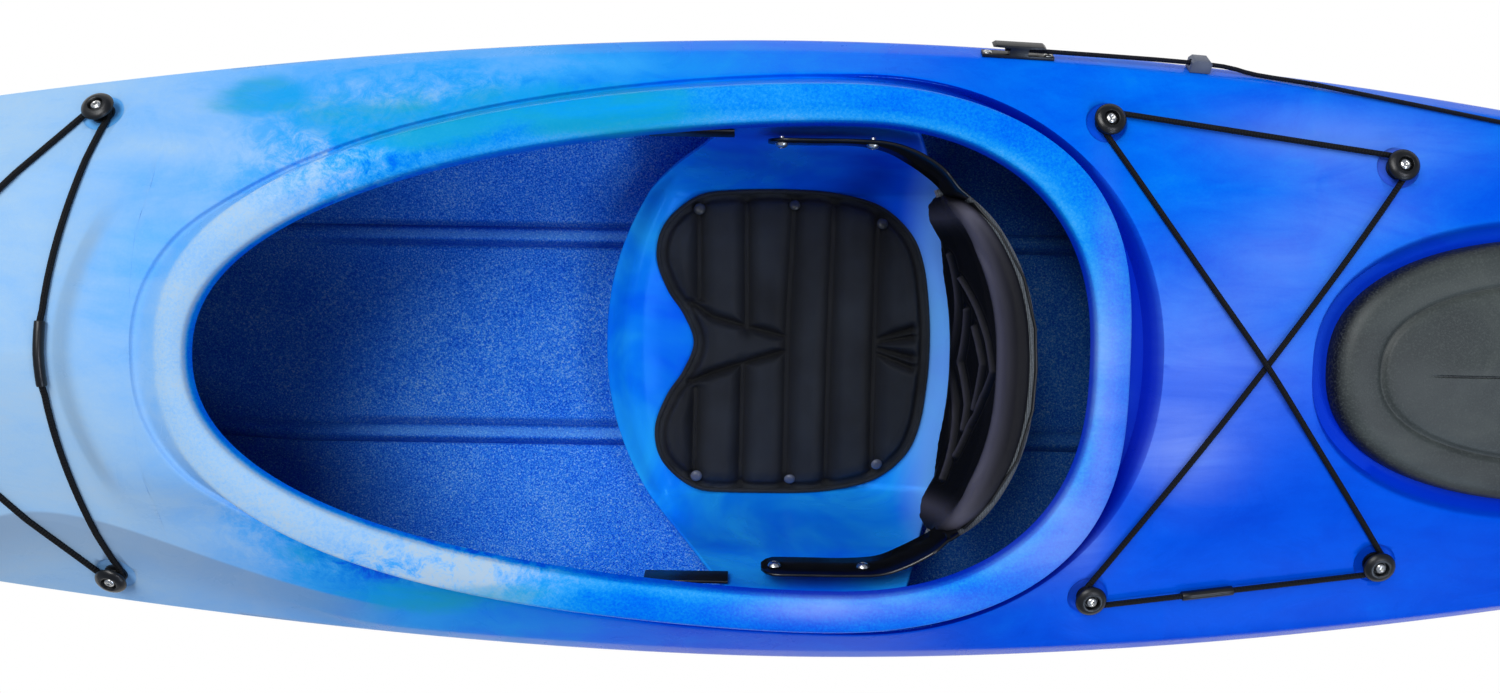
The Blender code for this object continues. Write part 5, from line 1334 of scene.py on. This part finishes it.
def buildSeatPad():
    # A flange and a full middle as one shell, made even by voxels, filled by cloth and then stitched
    ring = padOutline()
    area = sum(a[0] * b[1] - b[0] * a[1] for a, b in zip(ring, ring[1:] + ring[:1]))
    turn = 1.0 if area > 0 else -1.0
    thin, thick = padShape["flangeThickness"], padShape["thickness"]
    levels = [(0.0, thin * 0.5), (0.0008, thin), (0.007, thin), (0.0095, thin + 0.002), (0.014, thick)]
    upper = []
    for inset, height in levels:
        points = insetRing(ring, inset * turn)
        upper.append([(x, y, padFloor(x, y) + padShape["lift"] + height) for x, y in points])
    middle = (0.105, 0.0)
    for share in (0.85, 0.65, 0.42, 0.2):
        points = [(mix(middle[0], x, share), mix(middle[1], y, share)) for x, y, _ in upper[4]]
        upper.append([(x, y, padFloor(x, y) + padShape["lift"] + thick) for x, y in points])
    lower = []
    for share in (0.985, 0.8, 0.6, 0.4, 0.2):
        points = [(mix(middle[0], x, share), mix(middle[1], y, share)) for x, y in ring]
        lower.append([(x, y, padFloor(x, y) + padShape["lift"]) for x, y in points])
    mesh = cappedSkin([*reversed(lower), *upper])
    obj = voxelised(makeObject("seat_cushion", mesh, padFabric), padShape["voxel"])
    ringArray = np.array(ring + ring[:1])

    def held(points):
        edge = lineDistance(points[:, :2], ringArray)
        above = points[:, 2] - seatHeights(points)
        return np.clip((edge - 0.011) / 0.012, 0, 1) * np.clip((above - 0.004) / 0.004, 0, 1)

    swell(obj, padShape["fullness"], held)
    divided(obj)
    co = coordinates(obj)
    flat = co[:, :2]
    above = np.clip((co[:, 2] - seatHeights(co) - 0.004) / 0.004, 0, 1)
    groove = np.zeros(len(co))
    for line in padShape["channels"]:
        d = lineDistance(flat, line)
        groove = np.maximum(groove, (1 - np.clip((d - 0.0016) / padShape["channelReach"], 0, 1)) ** 2.4)
    for line in padShape["flutes"]:
        d = lineDistance(flat, line)
        groove = np.maximum(groove, (1 - np.clip((d - 0.0012) / padShape["fluteReach"], 0, 1)) ** 2.0)
    edge = lineDistance(flat, ringArray)
    crown = padShape["crown"] * np.clip((edge - 0.012) / 0.05, 0, 1)
    ridge = 0.0
    for line in padShape["channels"]:
        d = lineDistance(flat, line)
        ridge = np.maximum(ridge, np.exp(-((d / padShape["ridgeWidth"]) ** 2)))
    drop = groove * padShape["grooveDepth"] - ridge * padShape["ridge"]
    co[:, 2] += above * (crown - drop)
    # Darkening for the stitched seam near the rim, and painted shade in the channels and flutes, kept lighter
    # on their ridges
    stitched = np.exp(-(((edge - padShape["rimSeam"]) / padShape["rimSeamWidth"]) ** 2))
    setAttribute(obj, "seam", np.clip(np.maximum(groove**0.8 * 0.95 - ridge * 0.30, stitched * 0.9), 0, 1))
    sewn(obj, co, padFabric)
    settle(obj, "hull", "pad_fabric", "seat_pad")
    binding = []
    for x, y in insetRing(ring, 0.0012 * turn):
        binding.append(Vector((x, y, padFloor(x, y) + 0.0012 + padShape["binding"])))
    edging = tube("seat_cushion_binding", binding, padShape["binding"], padFabric, 8, closed=True)
    settle(edging, "hull", "pad_fabric")


buildSeatPad()
say("seat pad")

# The raised lines are in y, and in shares of the height from the lower edge
back = {
    "half": 0.170,
    "shift": -0.008,
    "topX": 0.300,
    "lean": 0.036,
    "sweep": 0.062,
    "low": 0.115,
    "high": 0.262,
    "pad": 0.024,
    "voxel": 0.0026,
    "roundFrom": 0.80,
    "tipHeight": 0.36,
    "tipThickness": 0.60,
    "fullness": 0.0012,
    "lineWidth": 0.0024,
    "lineHeight": 0.0044,
    "panelDepth": 0.0060,
    "valleyDepth": 0.0016,
    "valleyFromLine": 0.0056,
    "rollHeight": 0.925,
    "endRoll": 0.87,
    "raised": (
        (
            (0.0784, 0.358), (0.0473, 0.522), (0.0157, 0.654), (-0.013, 0.755), (-0.041, 0.601),
            (-0.0747, 0.476), (-0.1063, 0.427),
        ),
        ((0.0286, 0.429), (-0.0084, 0.562), (-0.0562, 0.484)),
        ((0.0459, 0.337), (-0.0109, 0.206), (-0.0532, 0.373), (-0.0792, 0.396)),
        ((0.1028, 0.33), (0.0715, 0.26), (-0.0126, 0.091), (-0.0643, 0.222), (-0.1305, 0.418)),
    ),
}


def backLimits(ys):
    end = abs(ys) ** 3
    height = back["high"] - back["low"]
    return back["low"] + height * 0.46 * end, back["high"] - height * 0.10 * end**1.3


def backFront(y, z):
    ys = (y - back["shift"]) / back["half"]
    height = back["high"] - back["low"]
    return back["topX"] - back["lean"] * (back["high"] - z) / height - back["sweep"] * abs(ys) ** 2.4


backProfile = (
    (0.0, 0.5), (0.03, 0.16), (0.12, 0.0), (0.35, 0.10), (0.6, 0.12), (0.80, 0.0), (0.90, -0.10),
    (0.98, 0.06), (1.03, 0.42), (1.02, 0.80), (0.97, 1.0), (0.85, 1.0), (0.5, 1.0), (0.15, 1.0),
    (0.0, 0.92),
)


def backEnds(s):
    # Lower and upper edge at s, from -1 at port to 1 at starboard, and how full the rounded end still is
    past = max(0.0, (abs(s) - back["roundFrom"]) / (1 - back["roundFrom"]))
    full = math.sqrt(max(0.0, 1 - past**2))
    low, high = backLimits(s)
    middle = (low + high) / 2
    tall = mix(back["tipHeight"], 1.0, full)
    return mix(middle, low, tall), mix(middle, high, tall), full


def buildBackrest():
    # Upright rings from port to starboard, made and filled as the seat pad is, then given its sunk panel
    rows = []
    for s in np.linspace(-1.0, 1.0, 41):
        y = back["shift"] + back["half"] * s
        low, high, full = backEnds(s)
        row = []
        thick = back["pad"] * mix(back["tipThickness"], 1.0, full)
        for t, depth in backProfile:
            z = mix(low, high, t)
            row.append((backFront(y, z) + (back["pad"] - thick) + thick * depth, y, z))
        rows.append(row)
    obj = voxelised(makeObject("backrest_cushion", cappedSkin(rows), backFabric), back["voxel"])

    def held(points):
        front = np.array([backFront(y, z) for _, y, z in points])
        facing = np.clip(1 - (points[:, 0] - front - 0.010) / 0.010, 0, 1)
        tall = (points[:, 2] - back["low"]) / (back["high"] - back["low"])
        return facing * np.clip((tall - 0.80) / 0.1, 0, 1)

    swell(obj, back["fullness"], held)
    divided(obj)
    co = coordinates(obj)
    front = np.array([backFront(y, z) for _, y, z in co])
    height = back["high"] - back["low"]
    flat = np.column_stack([co[:, 1], (co[:, 2] - back["low"])])
    facing = np.clip(1 - (co[:, 0] - front - 0.006) / 0.006, 0, 1)
    push = np.zeros(len(co))
    valley = np.zeros(len(co))
    for line in back["raised"]:
        path = [(y, 0.92 * t * height) for y, t in line]
        d = lineDistance(flat, path)
        push = np.maximum(push, np.exp(-((d / back["lineWidth"]) ** 2)))
        valley = np.maximum(valley, np.exp(-(((d - back["valleyFromLine"]) / back["lineWidth"]) ** 2)))
    span = (co[:, 1] - back["shift"]) / back["half"]
    inside = np.clip((0.86 - np.abs(span)) / 0.12, 0, 1)
    tall = (co[:, 2] - back["low"]) / height
    hollow = inside * np.clip((tall - 0.10) / 0.12, 0, 1) * np.clip((0.88 - tall) / 0.05, 0, 1)
    push *= hollow
    sunk = hollow * back["panelDepth"] + hollow * valley * back["valleyDepth"]
    co[:, 0] += facing * (sunk - push * back["lineHeight"])
    # Painted shade over the sunk panel, left out on the raised lines
    setAttribute(obj, "seam", np.clip(facing * hollow * (1 - push), 0, 1))
    # Painted highlight on the top roll, on the rounded ends and on the raised lines' crests
    ahead = np.clip(1 - (co[:, 0] - front - 0.014) / 0.008, 0, 1)
    roll = np.exp(-(((tall - back["rollHeight"]) / 0.055) ** 2)) * ahead
    roll = np.maximum(roll, 0.6 * facing * np.exp(-(((np.abs(span) - back["endRoll"]) / 0.06) ** 2)))
    setAttribute(obj, "satin", roll + 0.55 * push * facing)
    sewn(obj, co, backFabric)
    settle(obj, "backrest", "pad_fabric", "backrest_pad")


buildBackrest()
say("backrest pad")


# The tape's section, outwards and upwards from the pad's upper rear edge
tapeSection = (
    (-0.003, -0.010), (-0.003, 0.0035), (-0.001, 0.0052), (0.0028, 0.0052), (0.0045, 0.0035),
    (0.0045, -0.010),
)


def buildBackEdging():
    points = []
    for s in np.linspace(-1.0, 1.0, 61):
        y = back["shift"] + back["half"] * s
        z = backEnds(s)[1] - 0.004
        points.append(Vector((backFront(y, z) + back["pad"] + 0.0005, y, z)))
    for turn in (-1, 1):
        tail = []
        end = points[0 if turn < 0 else -1]
        for k in (1, 2, 3, 4, 5):
            tail.append(end + Vector((-0.0036 * k, turn * 0.0024 * math.sin(k * 0.6), -0.0012 * k)))
        points = list(reversed(tail)) + points if turn < 0 else points + tail
    rows = []
    for i, p in enumerate(points):
        before, after = points[max(i - 1, 0)], points[min(i + 1, len(points) - 1)]
        along = (after - before).normalized()
        out = Vector((along.y, -along.x, 0.0)).normalized()
        rows.append([p + out * across + Vector((0.0, 0.0, rise)) for across, rise in tapeSection])
    tape = makeObject("backrest_edging", cappedSkin(rows), webbing, sharp=50)
    settle(tape, "backrest", "pad_fabric")


buildBackEdging()

# Straps, plates and foam. A stop of an arm's route is x, the way inwards and the lean of its lower edge.
arm = {
    "plane": 0.2084,
    "low": 0.230,
    "high": 0.274,
    "thickness": 0.003,
    "round": 0.0008,
    "noseLength": 0.014,
    "tailShare": 0.55,
    "tailX": (0.246, 0.03),
    "tailDrop": 0.009,
    "dropX": (0.232, 0.022),
}
armRoutes = {
    "starboard": (
        (0.066, 0.0, 0.0), (0.110, 0.0, 0.0), (0.150, 0.0, 0.0), (0.180, 0.0020, 0.003),
        (0.204, 0.0090, 0.008), (0.226, 0.0210, 0.011), (0.244, 0.0370, 0.011), (0.251, 0.0430, 0.007),
        (0.259, 0.0490, 0.003),
    ),
    "port": (
        (0.066, 0.0, 0.0055), (0.110, 0.0, 0.0055), (0.150, 0.0, 0.0055), (0.182, 0.0015, 0.007),
        (0.206, 0.0095, 0.009), (0.227, 0.0205, 0.009), (0.245, 0.0320, 0.007), (0.251, 0.0345, 0.004),
        (0.259, 0.0390, 0.002),
    ),
}


def buildArm(side):
    sign = 1.0 if side == "starboard" else -1.0
    route = spline(armRoutes[side], 6)
    middle = (arm["low"] + arm["high"]) / 2
    half = (arm["high"] - arm["low"]) / 2
    rows = []
    for i, point in enumerate(route):
        before, after = route[max(i - 1, 0)], route[min(i + 1, len(route) - 1)]
        along = Vector((after.x - before.x, before.y - after.y)).normalized()
        out = Vector((-along.y, along.x))
        run = point.x - route[0].x
        tall = half * math.sqrt(max(0.12, 1 - max(0.0, 1 - run / arm["noseLength"]) ** 2))
        start, length = arm["tailX"]
        tall *= mix(1.0, arm["tailShare"], smoothStep((point.x - start) / length))
        start, length = arm["dropX"]
        drop = arm["tailDrop"] * smoothStep((point.x - start) / length)
        t, r = arm["thickness"] / 2, arm["round"]
        row = []
        halfSection = ((t, -tall + r), (t, 0.0), (t, tall - r), (t - r, tall), (r - t, tall))
        for across, height in (*halfSection, *((-a, -h) for a, h in halfSection)):
            z = middle + height - drop
            lean = point.z * (arm["high"] - z) / (arm["high"] - arm["low"])
            x = point.x + out.x * across
            y = arm["plane"] - point.y - lean + out.y * across
            row.append((x, sign * y, z))
        rows.append(row)
    return makeObject(f"arm_{side}_strap", cappedSkin(rows), armPlastic, sharp=50)


# The pivot blocks end under the cushion, and the hangers lean in to the rim's wall
pivotFit = {
    "starboard": 0.0525,
    "port": 0.0425,
    "inShare": 0.90,
    "x": 0.258,
    "xShare": 0.72,
    "z": 0.238,
    "zShare": 0.80,
}
hangerFit = {"shift": 0.0065, "top": 0.272, "lean": 0.12}


def fitPivot(obj, side):
    for vert in obj.data.vertices:
        past = abs(vert.co.y) - arm["plane"] + pivotFit[side]
        if past > 0:
            vert.co.y -= math.copysign(past * pivotFit["inShare"], vert.co.y)
        vert.co.x -= max(0.0, vert.co.x - pivotFit["x"]) * pivotFit["xShare"]
        vert.co.z -= max(0.0, vert.co.z - pivotFit["z"]) * pivotFit["zShare"]


def fitHanger(obj):
    for vert in obj.data.vertices:
        leant = hangerFit["shift"] + max(0.0, hangerFit["top"] - vert.co.z) * hangerFit["lean"]
        vert.co.y -= math.copysign(leant, vert.co.y)


for side in ("port", "starboard"):
    settle(buildArm(side), "hull", "black_plastic", f"backrest_arm_{side}")
    pivot = copied(f"backrest_pivot_{side}_block", f"backrest_pivot_{side}", 0.0010, blackPlastic)
    fitPivot(pivot, side)
    settle(pivot, "backrest", "black_plastic")
    hanger = copied(f"seat_hanger_{side}_strap", f"seat_hanger_{side}", 0.0008, blackPlastic)
    fitHanger(hanger)
    settle(hanger, "hull", "black_plastic")
    rail = copied(f"foot_rail_{side}_bar", f"foot_rail_{side}", 0.0015, blackPlastic)
    settle(rail, "hull", "black_plastic")
    pedal = copied(f"foot_pedal_{side}_part", f"foot_pedal_{side}", 0.0015, blackPlastic)
    settle(pedal, f"foot_pedal_{side}", "black_plastic")

# Piece, CAD node, rounding of its edges, material, body and slot
plainParts = (
    ("backrest_plate_panel", "backrest_plate", 0.0010, blackPlastic, "backrest", "black_plastic"),
    ("rear_bulkhead_foam", "rear_bulkhead", 0.0025, foam, "hull", "foam"),
    ("bow_float_foam", "bow_float", 0.0040, foam, "hull", "foam"),
    ("skeg_box_part", "skeg_box", 0.0008, blackPlastic, "hull", "black_plastic"),
    ("skeg_blade_part", "skeg_blade", 0.0012, blackPlastic, "skeg", "black_plastic"),
)
for piece, node, rounding, material, body, slotName in plainParts:
    settle(copied(piece, node, rounding, material), body, slotName)
say("straps, plates and foam")


# Turned fasteners, each a profile of (radius, height)

knobShape = (
    (0.0042, 0.0118), (0.0062, 0.0120), (0.0069, 0.0132), (0.0074, 0.0154), (0.0084, 0.0158),
    (0.0104, 0.0154), (0.0128, 0.0144), (0.0146, 0.0130), (0.0154, 0.0116), (0.0155, 0.0108),
    (0.0150, 0.0101), (0.0100, 0.0099), (0.0066, 0.0094), (0.0055, 0.0084), (0.0055, 0.0040),
    (0.0066, 0.0029), (0.0096, 0.0025), (0.0110, 0.0019), (0.0112, 0.0), (0.0042, 0.0), (0.0042, 0.0118),
)
screwShape = (
    (0.0, 0.0134), (0.0017, 0.0134), (0.0019, 0.0152), (0.0026, 0.0155), (0.0042, 0.0150),
    (0.0052, 0.0140), (0.0055, 0.0130), (0.0055, 0.0124), (0.0023, 0.0122), (0.0023, -0.0120),
    (0.0, -0.0120),
)
for key, place in knobs.items():
    label = f"{key[0]}_{key[1]}"
    knob = lathe(f"knob_{label}", knobShape, place, blackPlastic, 40)
    settle(knob, "hull", "black_plastic", f"deck_knob_{label}")
    screw = lathe(f"knob_screw_{label}", screwShape, place, steel, 28)
    settle(screw, "hull", "stainless", f"deck_knob_screw_{label}")

boltShape = (
    (0.0, 0.0030), (0.0016, 0.0030), (0.0018, 0.0046), (0.0030, 0.0044), (0.0048, 0.0034),
    (0.0060, 0.0018), (0.0065, 0.0002), (0.0028, 0.0), (0.0028, -0.0062), (0.0, -0.0062),
)
boltHead = {"starboard": 0.0043, "port": 0.0019}
for side, toward in (("starboard", -1.0), ("port", 1.0)):
    for place in ("front", "rear"):
        name = f"arm_bolt_{side}_{place}"
        centre, axis, _, high = axisOf(name, (0, toward, 0))
        origin = centre + axis * (high - boltHead[side])
        settle(lathe(f"{name}_steel", boltShape, frameAt(origin, axis), steel, 28), "hull", "stainless", name)

snapShape = (
    (0.0, 0.0037), (0.0020, 0.0040), (0.0042, 0.0035), (0.0058, 0.0024), (0.0065, 0.0010), (0.0063, 0.0),
    (0.0, 0.0),
)
for number in range(1, 7):
    name = f"seat_pad_snap_{number}"
    centre, axis, low, _ = axisOf(name, (0, 0, 1), longest=False)
    finish = darkSnap if number <= 3 else slatePlastic
    cap = lathe(f"{name}_cap", snapShape, frameAt(centre + axis * low, axis), finish, 28)
    settle(cap, "hull", "black_plastic", name)

screwHead = (
    (0.0, 0.0026), (0.0012, 0.0026), (0.0014, 0.0040), (0.0028, 0.0040), (0.0037, 0.0036),
    (0.0041, 0.0031), (0.0023, 0.0030), (0.0023, -0.0120), (0.0, -0.0120),
)
for place in ("front", "rear"):
    name = f"skeg_cleat_screw_{place}"
    centre, axis, low, _ = axisOf(name, (0, 0, 1))
    screw = lathe(f"{name}_steel", screwHead, frameAt(centre + axis * (low + screwDepth), axis), steel, 24)
    settle(screw, "hull", "stainless", name)
say("fasteners")


# Deck cords


def groundAt(x, y):
    hit = hullTree.ray_cast(Vector((x, y, 1.0)), Vector((0.0, 0.0, -1.0)))[0]
    return hit.z if hit is not None else 0.0


cordShape = {
    "radius": 0.0028,
    "neck": 0.0055,
    "groove": 0.0062,
    "gap": 0.0008,
    "splice": 0.060,
    "wall": 0.0018,
    "step": 0.010,
    "overDeck": 0.0003,
    "crossing": 0.0068,
    "crossingReach": 0.06,
}


def wrapRoute(stops, radius):
    # The taut loop round the knobs; a stop's side, 1 or -1, is the way the cord turns round it
    count = len(stops)
    legs = []
    for i in range(count):
        (start, first), (end, second) = stops[i], stops[(i + 1) % count]
        line = end - start
        heading = math.atan2(line.y, line.x) + math.asin((second - first) * radius / line.length)
        left = Vector((-math.sin(heading), math.cos(heading)))
        legs.append((start + left * first * radius, end + left * second * radius))
    route = []
    for i in range(count):
        centre, side = stops[i]
        arrive, leave = legs[i - 1][1] - centre, legs[i][0] - centre
        start = math.atan2(arrive.y, arrive.x)
        turn = math.atan2(leave.y, leave.x) - start
        turn = -((-turn) % (2 * math.pi)) if side > 0 else turn % (2 * math.pi)
        steps = max(4, math.ceil(abs(turn) / math.radians(15)))
        arc = []
        for k in range(steps + 1):
            angle = start + turn * k / steps
            arc.append(centre + Vector((math.cos(angle), math.sin(angle))) * radius)
        route.append((arc, legs[i][1]))
    return route


def groovePoint(place, plan):
    normal = place.to_3x3() @ Vector((0.0, 0.0, 1.0))
    centre = place @ Vector((0.0, 0.0, cordShape["groove"]))
    drop = normal.x * (plan.x - centre.x) + normal.y * (plan.y - centre.y)
    return Vector((plan.x, plan.y, centre.z - drop / normal.z))


def buildDeckCord(name, node, stops, splice, over, bow=0.0):
    # splice is the leg with the joint and its share of that leg, over the leg that crosses on top, and bow
    # how far the splice's leg sags off its straight line
    radius = cordShape["radius"]
    places = [knobs[key] for key, _ in stops]
    groove = Vector((0.0, 0.0, cordShape["groove"]))
    plan = [((place @ groove).xy, side) for place, (_, side) in zip(places, stops)]
    points = []
    sleeve = []
    for i, (arc, arrive) in enumerate(wrapRoute(plan, cordShape["neck"] + radius + cordShape["gap"])):
        points.extend(groovePoint(places[i], p) for p in arc)
        start = points[-1]
        end = groovePoint(places[(i + 1) % len(stops)], arrive)
        run = (end - start).length
        count = max(2, round(run / cordShape["step"]))
        for k in range(1, count):
            share = k / count
            p = start.lerp(end, share)
            thick = radius
            if i == splice[0]:
                p.x += bow * math.sin(math.pi * share)
                if abs(share - splice[1]) * run < cordShape["splice"] / 2 + 0.004:
                    thick += cordShape["wall"]
                    if abs(share - splice[1]) * run < cordShape["splice"] / 2 + 0.001:
                        sleeve.append(p)
            p.z = max(p.z, groundAt(p.x, p.y) + thick + cordShape["overDeck"])
            if i == over:
                p.z += cordShape["crossing"] * math.exp(-((p.y / cordShape["crossingReach"]) ** 2))
            points.append(p)
    cordPiece = tube(name, points, radius, cordWeave, 12, closed=True)
    settle(cordPiece, "hull", "cord", node)
    cover = tube(f"{name}_sleeve", sleeve, radius + cordShape["wall"], blackPlastic, 20)
    mesh = bmesh.new()
    mesh.from_mesh(cover.data)
    ends = [e for e in mesh.edges if e.is_manifold and any(len(f.verts) > 4 for f in e.link_faces)]
    bmesh.ops.bevel(mesh, geom=ends, offset=0.0009, segments=2, profile=0.5, affect="EDGES", material=-1)
    mesh.to_mesh(cover.data)
    mesh.free()
    settle(cover, "hull", "black_plastic", f"{node}_splice")


buildDeckCord(
    "rear_bungee",
    "rear_deck_cord",
    (
        (("middle", "starboard"), 1),
        (("rear", "starboard"), 1),
        (("middle", "port"), -1),
        (("rear", "port"), -1),
    ),
    (2, 0.40),
    3,
)
buildDeckCord(
    "front_bungee",
    "front_deck_cord",
    (
        (("front", "starboard"), 1),
        (("front", "port"), 1),
        (("bow", "starboard"), -1),
        (("bow", "port"), -1),
    ),
    (0, 0.50),
    3,
    -0.028,
)
say("deck cords")


# Cleat, guide and skeg line


def centreLine(name):
    # Middles of the CAD cord's rings, from its foremost end
    mesh = bmesh.new()
    mesh.from_mesh(nodes[name].data)
    bmesh.ops.remove_doubles(mesh, verts=mesh.verts, dist=1e-5)
    mesh.verts.ensure_lookup_table()
    bmesh.ops.dissolve_limit(mesh, angle_limit=math.radians(1), verts=mesh.verts, edges=mesh.edges)
    big = [f for f in mesh.faces if len(f.verts) >= 8]
    start = min(big, key=lambda f: f.calc_center_median().x)
    layer = list(start.verts)
    seen = set(layer)
    points = [sum((v.co for v in layer), Vector()) / len(layer)]
    while True:
        nextLayer = []
        for v in layer:
            for e in v.link_edges:
                other = e.other_vert(v)
                if other not in seen:
                    seen.add(other)
                    nextLayer.append(other)
        if not nextLayer:
            break
        points.append(sum((v.co for v in nextLayer), Vector()) / len(nextLayer))
        layer = nextLayer
    mesh.free()
    return points


def buildSkegLine():
    obj = tube("skeg_cable", spline(centreLine("skeg_line"), 4), 0.0022, lineWeave, 10)
    settle(obj, "hull", "cord", "skeg_line")


buildSkegLine()
settle(copied("skeg_cleat_horn", "skeg_cleat", 0.0009, blackPlastic), "hull", "black_plastic")
settle(copied("skeg_line_guide_block", "skeg_line_guide", 0.0012, slatePlastic), "hull", "black_plastic")
say("cleat and line")


# Hatch cover


def hatchRing(inset, height, count=56):
    half = ovalPoints(hatchOval(inset), count)
    ring = [(x, y, height) for x, y in half]
    return ring + [(x, -y, height) for x, y in reversed(half[1:-1])]


def buildHatch():
    # Rings from the underside's middle, down inside the rim, up the skirt and in over the top
    floor = hatch["floor"] + 0.0003
    top = floor + hatch["height"]
    inside = hatch["rimInset"] - 0.0006
    under = hatch["floor"] + hatch["rimHeight"] + 0.0003
    panel = hatch["panel"]
    profile = [
        (0.122, under),
        (0.060, under),
        (inside, under),
        (inside, floor),
        (0.0072, floor),
        (0.0062, floor + 0.003),
        (0.0064, floor + 0.008),
        (0.0070, floor + 0.013),
        (0.0088, top - 0.0085),
        (0.0112, top - 0.0055),
        (0.0148, top - 0.0026),
        (0.0190, top - 0.0008),
        (0.0240, top + 0.0002),
        (0.032, top + 0.0008),
        (panel - 0.006, top + 0.0010),
        (panel - 0.0032, top + 0.0004),
        (panel - 0.0010, top - 0.0026),
        (panel + 0.0012, top - 0.0026),
        (panel + 0.0032, top + 0.0006),
        (panel + 0.006, top + 0.0018),
        (panel + 0.014, top + 0.0030),
        (0.078, top + 0.0048),
        (0.098, top + 0.0066),
        (0.116, top + 0.0084),
        (0.1255, top + 0.0096),
    ]
    mesh = cappedSkin([hatchRing(inset, height) for inset, height in profile])
    settle(makeObject("hatch_lid", mesh, rubber, sharp=60), "hatch", "hatch_rubber", "hatch_cover")


buildHatch()
say("hatch")


# Stage, lights and camera


studio = {
    "floor": "d9dbe0",
    "floorHeight": -0.001,
    "floorReach": 30.0,
    "world": "dbe6fb",
    "worldStrength": 0.38,
}
# Name, place, what it looks at, width and length, power in watts and colour
lamps = (
    ("sky", (-0.8, 1.2, 3.6), (0.0, 0.0, 0.2), (1.3, 1.3), 54.0, "ffffff"),
    ("key", (-1.7, 2.5, 3.0), (0.0, 0.0, 0.2), (1.7, 1.7), 48.0, "ffffff"),
    ("port", (1.9, -2.3, 2.4), (0.3, 0.0, 0.2), (1.2, 0.7), 20.0, "cfe3ff"),
    ("stern", (1.75, -0.55, 3.2), (0.5, 0.0, 0.2), (0.6, 1.0), 20.0, "eef0ff"),
)
# The solved camera of the photograph, 1500 pixels wide with a focal length of 1155 of them
lens = {
    "place": (0.0451, 0.1002, 1.3681),
    "turn": (
        (0.9998556, -0.01589904, -0.00599996), (0.01632602, 0.9967, 0.07951454),
        (0.00471596, -0.07960101, 0.99681565),
    ),
    "sensor": 36.0,
    "focal": 1155.0,
    "pixels": 1500.0,
}


def buildFloor():
    mesh = bmesh.new()
    bmesh.ops.create_grid(mesh, x_segments=2, y_segments=2, size=studio["floorReach"])
    bmesh.ops.translate(mesh, vec=(0.0, 0.0, studio["floorHeight"]), verts=mesh.verts)
    # Pale matt paper to the object, and plain white to the camera and in what gloss mirrors
    material = bpy.data.materials.new("matt_backdrop_paper")
    material.use_nodes = True
    tree = material.node_tree
    tree.nodes.clear()
    add = partial(addNode, tree)
    output = tree.nodes.new("ShaderNodeOutputMaterial")
    rays = add("rays").node.outputs
    seen = add("MAXIMUM", rays["Is Camera Ray"], rays["Is Glossy Ray"])
    seen = add("MAXIMUM", seen, rays["Is Transmission Ray"])
    both = add("eitherShader", seen, add("diffuse", studio["floor"]), add("glow", "ffffff", 1.0))
    tree.links.new(both, output.inputs["Surface"])
    makeObject("studio_floor", mesh, material, smooth=False)


def buildLights():
    world = bpy.data.worlds.new("studio")
    scene.world = world
    world.use_nodes = True
    background = world.node_tree.nodes["Background"]
    background.inputs["Color"].default_value = hexColor(studio["world"])
    background.inputs["Strength"].default_value = studio["worldStrength"]
    for name, place, target, (width, length), power, color in lamps:
        data = bpy.data.lights.new(name, "AREA")
        data.shape = "RECTANGLE"
        data.size = width
        data.size_y = length
        data.energy = power
        data.color = hexColor(color)[:3]
        obj = bpy.data.objects.new(name, data)
        scene.collection.objects.link(obj)
        obj.location = place
        obj.rotation_euler = (Vector(target) - Vector(place)).to_track_quat("-Z", "Y").to_euler()


def buildCamera():
    data = bpy.data.cameras.new("camera")
    data.sensor_width = lens["sensor"]
    data.sensor_fit = "HORIZONTAL"
    data.lens = lens["focal"] / lens["pixels"] * lens["sensor"]
    data.clip_start = 0.05
    data.clip_end = 60.0
    obj = bpy.data.objects.new("camera", data)
    scene.collection.objects.link(obj)
    obj.matrix_world = Matrix.Translation(lens["place"]) @ Matrix(lens["turn"]).to_4x4()
    scene.camera = obj


buildFloor()
buildLights()
buildCamera()
scene.view_settings.view_transform = "Standard"

say("studio")
